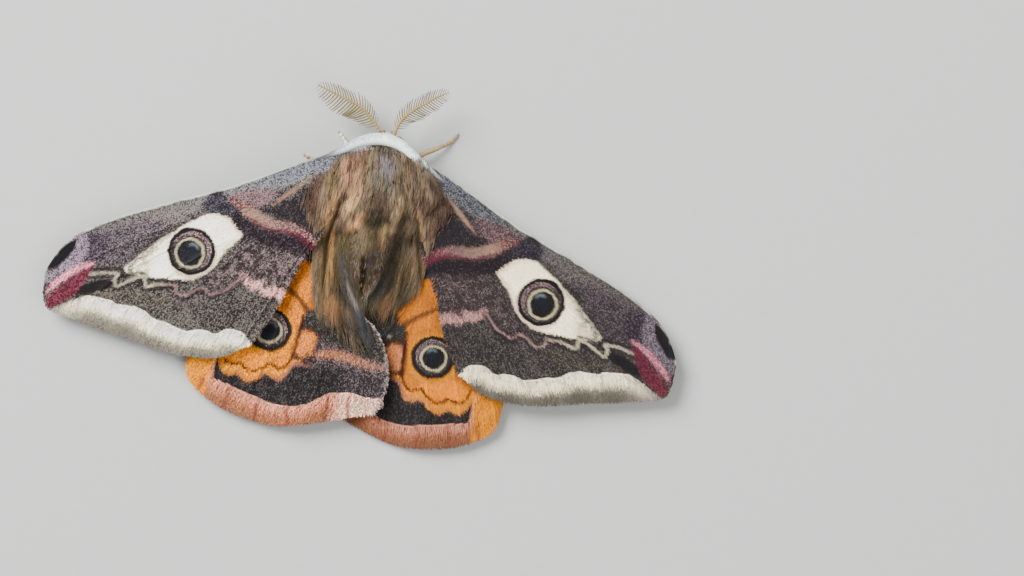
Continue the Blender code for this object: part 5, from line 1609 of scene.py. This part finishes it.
def build_streamers():
    """Hair of the back, and the long hair that streams from it over the hindwings."""
    rng = np.random.default_rng(302)
    comb = Comb()
    back = [combed(comb, rng, BACK_AREA, 500, 12, (1.8, 3.0), width=0.046, loft=0.35),
            combed(comb, rng, LOBE_AREA, 60, 12, (1.8, 3.4), width=0.046, loft=0.2)]
    deliver(joined_hair("back_hair", back, finish_of("moth hair")), "tan_fur")
    streams = [combed(comb, rng, STREAM_AREA, 485, 12, (2.6, 4.8), knots=7, width=0.048, loft=0.4)]
    deliver(joined_hair("streamers", streams, finish_of("moth hair")), "brown_fur")


class MothCoat(bpy.types.PropertyGroup):
    coat_density: bpy.props.FloatProperty(
        name="Coat density", description="Short hairs on each square millimetre of the body", default=60.0,
        min=1.0, max=400.0)
    coat_length: bpy.props.FloatProperty(
        name="Coat length", description="Length of the body's short hair", default=0.0007, min=0.0001,
        max=0.003, subtype="DISTANCE", unit="LENGTH", precision=5)


def tube(path, radii, around=8, squash=1.0):
    """Points and faces of a closed tube along a path in millimetres, its ends drawn to points."""
    path = np.asarray(path, float)
    ahead = np.gradient(path, axis=0)
    ahead /= np.linalg.norm(ahead, axis=1)[:, None]
    across = np.cross(ahead, (0.0, 0.0, 1.0))
    across /= np.maximum(np.linalg.norm(across, axis=1), 1e-6)[:, None]
    up = np.cross(across, ahead)
    turn = np.linspace(0, 2 * np.pi, around, endpoint=False)
    rings = (path[:, None] + across[:, None] * np.cos(turn)[None, :, None] * np.asarray(radii)[:, None, None]
             + up[:, None] * np.sin(turn)[None, :, None] * np.asarray(radii)[:, None, None] * squash)
    first, last = path[0] - ahead[0] * radii[0] * 0.6, path[-1] + ahead[-1] * radii[-1] * 0.6
    points = np.vstack((rings.reshape(-1, 3), first, last))
    rows = len(path)
    faces = []
    for i in range(rows - 1):
        for j in range(around):
            k = (j + 1) % around
            faces.append((i * around + j, i * around + k, (i + 1) * around + k, (i + 1) * around + j))
    top = (rows - 1) * around
    for j in range(around):
        k = (j + 1) % around
        faces.append((rows * around, k, j))
        faces.append((rows * around + 1, top + j, top + k))
    return points, faces


def joined(parts):
    """Points and faces of several shapes as one."""
    points, faces, offset = [], [], 0
    for own_points, own_faces in parts:
        points.append(own_points)
        faces += [[corner + offset for corner in face] for face in own_faces]
        offset += len(own_points)
    return np.vstack(points), faces


def opaque(shades):
    """Colours with full alpha, as an attribute keeps them."""
    return np.column_stack((shades, np.ones(len(shades))))


def tint_piece(piece, shade):
    """Give a piece its tint, one colour or one for each point."""
    count = len(piece.data.vertices)
    shades = np.tile(shade, (count, 1)) if np.ndim(shade) == 1 else shade
    store(piece.data, "tint", opaque(shades))


ANTENNA_TINT = (166, 147, 100)
SHAFT_TINT = (186, 167, 116)


RAY_ROWS = ((1, "Left", 0.25), (-1, "Right", 0.25), (1, "Left", 1.0), (-1, "Right", 1.0))  # hand, side, droop
RAY_SHARES = {  # length of the left and right rays as a share of the longest, and how far each leans
    "left": (1.0, 0.76, 0.24, 0.66),
    "right": (0.72, 0.78, 0.66, 0.4),
}
RAY_REACH = ((0.1, 0.3, 0.45, 0.7, 0.88, 1.0), (0.45, 0.9, 1.0, 0.9, 0.62, 0.2))  # places, rays' lengths


def comb_tree():
    """Rays to both sides of an antenna's shaft, in an upper and a lower row, each with its cilia."""
    tree, inputs = new_tree("antenna comb", "Shaft", [
        ("Left length", "Float", 0.0019), ("Right length", "Float", 0.0015), ("Left lean", "Float", 0.3),
        ("Right lean", "Float", 0.6), ("Droop", "Float", 0.35), ("Thickness", "Float", 0.035),
        ("Cilia", "Int", 11), ("Cilia length", "Float", 0.13), ("Seed", "Int", 1),
        ("Finish", "Material", None)])
    seed = inputs["Seed"]
    bend = tree.add("GeometryNodeCurveQuadraticBezier", {
        "Resolution": 6, "Start": (0.0, 0.0, 0.0), "Middle": (0.0, 0.6, 0.06), "End": (0.12, 1.0, -0.02)})
    factor = out(tree.add("GeometryNodeSplineParameter"), "Factor")
    slim = tree.times(inputs["Thickness"], tree.minus(1.0, tree.times(factor, 0.6)))
    ring = tree.add("GeometryNodeCurvePrimitiveCircle", {"Resolution": 4, "Radius": 1.0})
    body = tree.add("GeometryNodeCurveToMesh", {
        "Curve": bend, "Profile Curve": out(ring, "Curve"), "Scale": slim, "Fill Caps": True})
    spots = tree.add("GeometryNodeCurveToPoints", {"Curve": bend, "Count": inputs["Cilia"]}, mode="COUNT")
    hair = tree.add("GeometryNodeMeshCone", {
        "Vertices": 3, "Radius Top": 0.0, "Radius Bottom": 0.012, "Depth": 1.0})
    branches = [body]
    for hand in (-1.0, 1.0):
        outward = tree.facing((hand * 0.85, 0.5, -0.25), (0.0, 0.0, 1.0))
        size = tree.xyz(X=1.0, Y=1.0, Z=inputs["Cilia length"])
        branches.append(tree.instances(out(spots, "Points"), out(hair, "Mesh"), outward, size))
    ray = tree.add("GeometryNodeJoinGeometry")
    for branch in branches:
        tree.wire(branch, ray.inputs[0])
    upright = tree.facing((0.0, 0.0, 1.0), tree.stored("ahead", "FLOAT_VECTOR"))
    rows = tree.add("GeometryNodeJoinGeometry")
    for number, (hand, way, sink) in enumerate(RAY_ROWS):
        lean = tree.plus(inputs[way + " lean"], tree.random(-0.04, 0.04, seed, 20 + number))
        turn = tree.times(lean, -1.0) if hand > 0 else tree.plus(lean, math.pi)
        droop = tree.times(inputs["Droop"], -sink, tree.random(0.8, 1.2, seed, 30 + number))
        pose = tree.turned(upright, tree.xyz(X=droop, Z=turn))
        size = tree.times(inputs[way + " length"], tree.stored("reach"),
                          tree.random(0.93, 1.05, seed, 40 + number))
        mirror = tree.xyz(X=tree.times(size, float(hand)), Y=size, Z=size)
        tree.wire(tree.instances(inputs["Shaft"], ray, pose, mirror), rows.inputs[0])
    return tree.end(rows, inputs["Finish"])


def build_antennae():
    """Feathered antennae: a beaded shaft and its four rows of rays."""
    look = bpy.context.scene.moth_limbs
    for number, (side, given) in enumerate(ANTENNA_PATHS.items()):
        hand = -1 if side == "left" else 1
        outer, inner, lean_left, lean_right = RAY_SHARES[side]
        path = [(hand * 0.62, 5.15, 3.95)] + given
        t = np.linspace(0, 1, 220)
        segments = look.antenna_rays
        beads = 1 + 0.16 * np.cos(2 * np.pi * segments * t)
        radii = np.interp(t, (0, 0.06, 0.12, 0.5, 1), (0.22, 0.2, 0.15, 0.12, 0.06)) * beads
        points, faces = tube(curve(path, t), radii, 8)
        shaft = mesh_piece("shaft_" + side, points, faces, finish_of("antenna cuticle"))
        tint_piece(shaft, colour(*SHAFT_TINT))

        spots = np.linspace(0.16, 0.985, segments)
        stations = curve(path, spots)
        carrier = mesh_piece("stations_" + side, stations, [], finish_of("antenna cuticle"))
        ahead = np.gradient(stations, axis=0)
        ahead[:, 2] = 0
        store(carrier.data, "ahead", ahead / np.linalg.norm(ahead, axis=1)[:, None])
        store(carrier.data, "reach", np.interp(spots, *RAY_REACH))
        comb = grown("antenna_comb_" + side, carrier, comb_tree(), {
            "Left length": look.ray_length * outer, "Right length": look.ray_length * inner,
            "Left lean": lean_left, "Right lean": lean_right, "Droop": 0.45, "Thickness": 0.056, "Cilia": 12,
            "Cilia length": 0.06, "Seed": 401 + number, "Finish": finish_of("antenna cuticle")})
        tint_piece(comb, colour(*ANTENNA_TINT))
        bpy.data.objects.remove(carrier)
        fix_outsides(comb)
        deliver(shaft, "antenna", "antenna_" + side)
        deliver(comb, "antenna")


def fix_outsides(piece):
    """Point all faces of closed shapes outwards."""
    made = bmesh.new()
    made.from_mesh(piece.data)
    bmesh.ops.recalc_face_normals(made, faces=made.faces)
    made.to_mesh(piece.data)
    made.free()


LEG_TINT = (188, 172, 142)
LEG_WHITE = (212, 209, 200)
LEG_DARK = (150, 116, 88)
CLAW_TINT = (70, 44, 26)
LEG_RADII = (0.36, 0.36, 0.28, 0.25, 0.27, 0.28, 0.21, 0.19, 0.15)  # from the body to the toe
FOOT_PARTS = 5
LEG_SIDES = 10
LEG_FUR_DENSITY = 90
LOWEST_SOLE = 0.004
LOWEST_FUR = 0.02

# The face: a palp and an antenna's seat as a path, radii at places along it, points along and around it.
PALP = [(0.3, 5.0, 2.35), (0.4, 5.3, 2.2), (0.44, 5.55, 2.35), (0.42, 5.7, 2.6)]
ANTENNA_SEAT = [(0.55, 4.95, 3.75), (0.68, 5.35, 3.98), (0.76, 5.6, 4.02)]
FACE_PARTS = [(PALP, (0, 0.5, 1), (0.24, 0.26, 0.1), 14, 10),
              (ANTENNA_SEAT, (0, 0.6, 1), (0.3, 0.28, 0.17), 10, 12)]
FACE_TINT = (176, 158, 132)
PALP_HAIR_TINT = (168, 144, 116)
BROW_TOP_TINT = (214, 212, 204)
BROW_LOW_TINT = (156, 132, 104)
PALP_HAIRS = 420  # on each palp
BROW_HAIRS = 900


def build_legs():
    """Jointed legs with furred thighs and shins, five-part feet and two claws each."""
    look = bpy.context.scene.moth_limbs
    for number, (name, given) in enumerate(LEGS.items()):
        t = np.linspace(0, 1, 90)
        line = curve(given, t)
        line[:, 2] = np.maximum(line[:, 2], 0.15)
        places = np.cumsum([0] + [math.dist(a, b) for a, b in zip(given, given[1:])])
        knee, ankle, heel = places[1:4] / places[-1]
        stops = (0, knee * 0.5, knee - 0.03, knee, knee + 0.05, (knee + ankle) / 2, ankle, heel, 1)
        radii = np.interp(t, stops, LEG_RADII)
        foot = fade(t, ankle, ankle + 0.03)
        toes = np.abs(np.sin(np.pi * FOOT_PARTS * np.clip((t - ankle) / (1 - ankle), 0, 1)))
        radii = radii * (1 - 0.3 * foot * (1 - toes ** 0.5))
        line[:, 2] = np.where(line[:, 2] < 0.3, np.maximum(radii * 0.92, 0.08), line[:, 2])
        leg_points, leg_faces = tube(line, radii, LEG_SIDES)
        tip, ahead = line[-1], line[-1] - line[-4]
        ahead /= np.linalg.norm(ahead)
        side = np.cross(ahead, (0, 0, 1))
        parts = [(leg_points, leg_faces)]
        for hand in (-1, 1):
            bend = tip + ahead * 0.16 + side * 0.09 * hand + (0, 0, 0.03)
            point = tip + ahead * 0.3 + side * 0.1 * hand - (0, 0, tip[2] - 0.03)
            claw = curve([tip, bend, point], np.linspace(0, 1, 7))
            parts.append(tube(claw, np.linspace(0.035, 0.008, 7), 5))
        points, faces = joined(parts)
        points[:, 2] = np.maximum(points[:, 2], LOWEST_SOLE)
        leg = mesh_piece(name + "_limb", points, faces, finish_of("leg cuticle"))

        # Tints of the limb and its claws, and what its fur needs to know.
        row = np.repeat(np.arange(len(t)), LEG_SIDES)
        rest = len(points) - len(row)
        bands = (fade(toes, 0.5, 0.1) * foot)[:, None]
        ground = LEG_WHITE if name == "leg_fore_left" else LEG_TINT
        shade = colour(*ground) * (1 - bands) + colour(*LEG_DARK) * bands
        claws = np.tile(colour(*CLAW_TINT), (rest - 2, 1))
        shades = np.vstack((shade[row], shade[:1], shade[-1:], claws))
        tint_piece(leg, shades)
        flow = np.gradient(line, axis=0)
        flow /= np.linalg.norm(flow, axis=1)[:, None]
        along = np.concatenate((t[row], (0.0, 1.0), np.ones(rest - 2)))
        around = np.concatenate((np.tile(np.arange(LEG_SIDES) / LEG_SIDES, len(t)), np.zeros(rest)))
        ones = np.ones(len(points))
        cover = 1 - fade(along, ankle - 0.02, ankle + 0.1) * 0.75
        cover[len(row) + 2:] = 0.0
        values = {"fleck_tint": opaque(np.clip(shades * 1.3, 0, 0.9)), "fleck": 0.5 * ones,
                  "lie": np.vstack((flow[row], flow[:1], flow[-1:], np.tile(flow[-1], (rest - 2, 1)))),
                  "cover": cover, "size": 1 - 0.6 * fade(along, knee, ankle), "girth": ones, "raise": ones,
                  "root_uv": np.column_stack((0.05 + 0.9 * along, 0.05 + 0.9 * around, 0 * along))}
        for key, value in values.items():
            store(leg.data, key, value)
        fur = grown(name + "_fur", leg, coat_tree(), {
            "Density": LEG_FUR_DENSITY / MM ** 2, "Length": look.leg_fur, "Width": 0.00005, "Lift": 0.4,
            "Curl": -0.2, "Spread": 0.4, "Taper": 0.9, "Belly": 0.6, "Rows": 4, "Shade": 0.2,
            "Seed": 501 + number, "Finish": finish_of("leg cuticle")})
        unwrap_tufts(fur)
        spots = numbers(fur.data, "position", 3)
        spots[:, 2] = np.maximum(spots[:, 2], LOWEST_FUR * MM)
        fur.data.vertices.foreach_set("co", spots.astype(np.float32).ravel())
        deliver(leg, "leg", name)
        deliver(fur, "leg")


def eye_tree():
    """A domed eye of many six-sided facets."""
    tree, inputs = new_tree("faceted eye", "Seat", [
        ("Radius", "Float", 1.0), ("Fineness", "Int", 5), ("Dome", "Float", 0.012),
        ("Finish", "Material", None)])
    ball = tree.add("GeometryNodeMeshIcoSphere", {"Radius": inputs["Radius"],
                                                  "Subdivisions": inputs["Fineness"]})
    facets = tree.add("GeometryNodeDualMesh", {"Mesh": out(ball, "Mesh")})
    raised = tree.add("GeometryNodeExtrudeMesh", {"Mesh": facets, "Offset Scale": inputs["Dome"],
                                                  "Individual": True})
    narrowed = tree.add("GeometryNodeScaleElements", {"Geometry": raised, "Selection": out(raised, "Top"),
                                                      "Scale": 0.72})
    return tree.end(narrowed, inputs["Finish"])


def eye_finish():
    made, tree, shader = surface("moth eye", {"Roughness": 0.22, "Coat Weight": 0.6, "Coat Roughness": 0.08})
    where = out(tree.add("ShaderNodeTexCoord"), "Object")
    cloud = tree.add("ShaderNodeTexNoise", {"Vector": where, "Scale": 1800.0, "Detail": 2.0})
    shade = tree.add("ShaderNodeMix", {"Factor_Float": cloud, "A_Color": (0.006, 0.005, 0.004, 1.0),
                                       "B_Color": (0.045, 0.028, 0.018, 1.0)}, data_type="RGBA")
    tree.wire(out(shade, "Result_Color"), shader.inputs["Base Color"])
    return made


def build_eyes():
    glossy = eye_finish()
    seat = mesh_piece("eye_seat", [(0.0, 0.0, 0.0)], [], glossy)
    for side, name in ((-1, "eye_left"), (1, "eye_right")):
        eye = grown(name + "_facets", seat, eye_tree(), {"Radius": 1.0, "Fineness": 4, "Dome": 0.03,
                                                         "Finish": glossy})
        centre = placed((side * (EYE_PLACE[0] - 0.12), EYE_PLACE[1], EYE_PLACE[2]))
        for vertex in eye.data.vertices:
            vertex.co = centre + np.array(vertex.co) * np.array(EYE_HALF) * MM
        eye.data.update()
        deliver(eye, "eye", name)
    bpy.data.objects.remove(seat)


def build_head():
    """The face: furred palps beside the mouth, the bare seats of the antennae, and a brow of short locks."""
    rng = np.random.default_rng(303)
    parts = []
    for side in (-1, 1):
        for path, places, radii, count, around in FACE_PARTS:
            t = np.linspace(0, 1, count)
            line = curve([(side * x, y, z) for x, y, z in path], t)
            parts.append(tube(line, np.interp(t, places, radii), around))
    points, faces = joined(parts)
    face = mesh_piece("face", points, faces, finish_of("body skin"))
    tint_piece(face, colour(*FACE_TINT))
    deliver(face, "pale_fur")

    roots, tips, tints = [], [], []
    for side in (-1, 1):
        palp = [(side * x, y, z) for x, y, z in PALP[:3]]
        for _ in range(PALP_HAIRS):
            t = rng.uniform(0, 1)
            base = curve(palp, np.array([t]))[0]
            around = rng.normal(0, 1, 3)
            around /= np.linalg.norm(around)
            root = base + around * 0.2
            ahead = np.array((side * 0.05, 0.25, 0.1 - 0.1 * t)) * rng.uniform(0.6, 1.2)
            roots.append(root)
            tips.append(root + around * 0.18 + ahead)
            tints.append(colour(*PALP_HAIR_TINT) * rng.uniform(0.7, 1.3))
    for _ in range(BROW_HAIRS):
        turn, high = rng.uniform(-1, 1), rng.uniform(-0.9, 0.9)
        root = np.array((0.85 * turn, 5.45 - 0.5 * turn ** 2 - 0.25 * high ** 2, 3.25 + 0.75 * high))
        ahead = np.array((0.6 * turn, 0.75, 0.45 * high + 0.1))
        roots.append(root - ahead * 0.15)
        tips.append(root + ahead * rng.uniform(0.3, 0.6) + rng.normal(0, 0.06, 3))
        pale = fade(np.array(high), -0.3, 0.5)
        tints.append((colour(*BROW_TOP_TINT) * pale + colour(*BROW_LOW_TINT) * (1 - pale))
                     * rng.uniform(0.75, 1.15))
    roots, tips = np.array(roots), np.array(tips)
    t = np.linspace(0, 1, 4)[None, :, None]
    paths = roots[:, None] * (1 - t) + tips[:, None] * t
    paths[..., 2] += 0.06 * np.sin(np.pi * t[..., 0])
    spots = np.column_stack((0.5 + 0.2 * roots[:, 0], 0.1 + 0.2 * roots[:, 2]))
    brow = hair_strands("face_hair", paths, 0.05 * rng.uniform(0.7, 1.2, len(roots)),
                        np.clip(tints, 0.003, 0.93), spots, finish_of("moth hair"))
    deliver(brow, "pale_fur")


class MothLimbs(bpy.types.PropertyGroup):
    antenna_rays: bpy.props.IntProperty(
        name="Antenna joints", description="Joints of each antenna, each with four rays", default=24,
        min=8, max=80)
    ray_length: bpy.props.FloatProperty(
        name="Ray length", description="Length of the longest rays of an antenna", default=0.0019, min=0.0005,
        max=0.005, subtype="DISTANCE", unit="LENGTH", precision=5)
    leg_fur: bpy.props.FloatProperty(
        name="Leg fur", description="Length of the hair on the thighs", default=0.00055, min=0.0001,
        max=0.002, subtype="DISTANCE", unit="LENGTH", precision=5)


class BuildForewings(bpy.types.Operator):
    """Build both forewings: veined skin, laid scales and marginal fringe."""
    bl_idname = "moth.forewings"
    bl_label = "Forewings"

    def execute(self, context):
        build_forewings()
        return {"FINISHED"}


class BuildHindwings(bpy.types.Operator):
    """Build both hindwings: veined skin, laid scales and marginal fringe."""
    bl_idname = "moth.hindwings"
    bl_label = "Hindwings"

    def execute(self, context):
        build_hindwings()
        return {"FINISHED"}


class BuildBody(bpy.types.Operator):
    """Build the skin of head, thorax and abdomen in one piece, and its short coat."""
    bl_idname = "moth.body"
    bl_label = "Body and coat"

    def execute(self, context):
        build_body()
        build_coat()
        return {"FINISHED"}


class BuildMantle(bpy.types.Operator):
    """Build the white collar and the long hair over shoulders and back."""
    bl_idname = "moth.mantle"
    bl_label = "Collar and mantle"

    def execute(self, context):
        build_mantle()
        return {"FINISHED"}


class BuildStreamers(bpy.types.Operator):
    """Build the long hair that streams from the thorax over abdomen and hindwings."""
    bl_idname = "moth.streamers"
    bl_label = "Streaming hair"

    def execute(self, context):
        build_streamers()
        return {"FINISHED"}


class BuildHead(bpy.types.Operator):
    """Build the face, the palps and their hair."""
    bl_idname = "moth.head"
    bl_label = "Face and palps"

    def execute(self, context):
        build_head()
        return {"FINISHED"}


class BuildEyes(bpy.types.Operator):
    """Build the two faceted eyes."""
    bl_idname = "moth.eyes"
    bl_label = "Eyes"

    def execute(self, context):
        build_eyes()
        return {"FINISHED"}


class BuildAntennae(bpy.types.Operator):
    """Build the two feathered antennae."""
    bl_idname = "moth.antennae"
    bl_label = "Antennae"

    def execute(self, context):
        build_antennae()
        return {"FINISHED"}


class BuildLegs(bpy.types.Operator):
    """Build the six legs and their hair."""
    bl_idname = "moth.legs"
    bl_label = "Legs"

    def execute(self, context):
        build_legs()
        return {"FINISHED"}


class BuildStage(bpy.types.Operator):
    """Set the floor, the studio lights and the camera."""
    bl_idname = "moth.stage"
    bl_label = "Stage"

    def execute(self, context):
        build_stage()
        return {"FINISHED"}


class MothPanel(bpy.types.Panel):
    """The moth's settings and the steps that build it, in order."""
    bl_idname = "VIEW3D_PT_moth"
    bl_label = "Moth"
    bl_space_type = "VIEW_3D"
    bl_region_type = "UI"
    bl_category = "Moth"

    def draw(self, context):
        for name, steps in PANEL_ROWS:
            box = self.layout.box()
            if name:
                group = getattr(context.scene, name)
                for setting in group.__annotations__:
                    box.prop(group, setting)
            for step in steps:
                box.operator(step.bl_idname)


PANEL_ROWS = [
    ("moth_wings", [BuildForewings, BuildHindwings]), ("moth_coat", [BuildBody]),
    (None, [BuildMantle, BuildStreamers]), ("moth_limbs", [BuildHead, BuildEyes, BuildAntennae, BuildLegs]),
    ("moth_stage", [BuildStage]),
]
GROUPS = [("moth_wings", MothWings), ("moth_coat", MothCoat), ("moth_limbs", MothLimbs),
          ("moth_stage", MothStage)]
CLASSES = [kind for _, kind in GROUPS] + [step for _, steps in PANEL_ROWS for step in steps] + [MothPanel]


def register():
    for kind in CLASSES:
        bpy.utils.register_class(kind)
    for name, kind in GROUPS:
        setattr(bpy.types.Scene, name, bpy.props.PointerProperty(type=kind))


def unregister():
    for name, _ in GROUPS:
        delattr(bpy.types.Scene, name)
    for kind in reversed(CLASSES):
        bpy.utils.unregister_class(kind)


def main():
    """Build every piece in order."""
    register()
    bpy.ops.moth.forewings()
    bpy.ops.moth.hindwings()
    bpy.ops.moth.body()
    bpy.ops.moth.mantle()
    bpy.ops.moth.streamers()
    bpy.ops.moth.head()
    bpy.ops.moth.eyes()
    bpy.ops.moth.antennae()
    bpy.ops.moth.legs()
    bpy.ops.moth.stage()


if __name__ == "__main__":
    main()
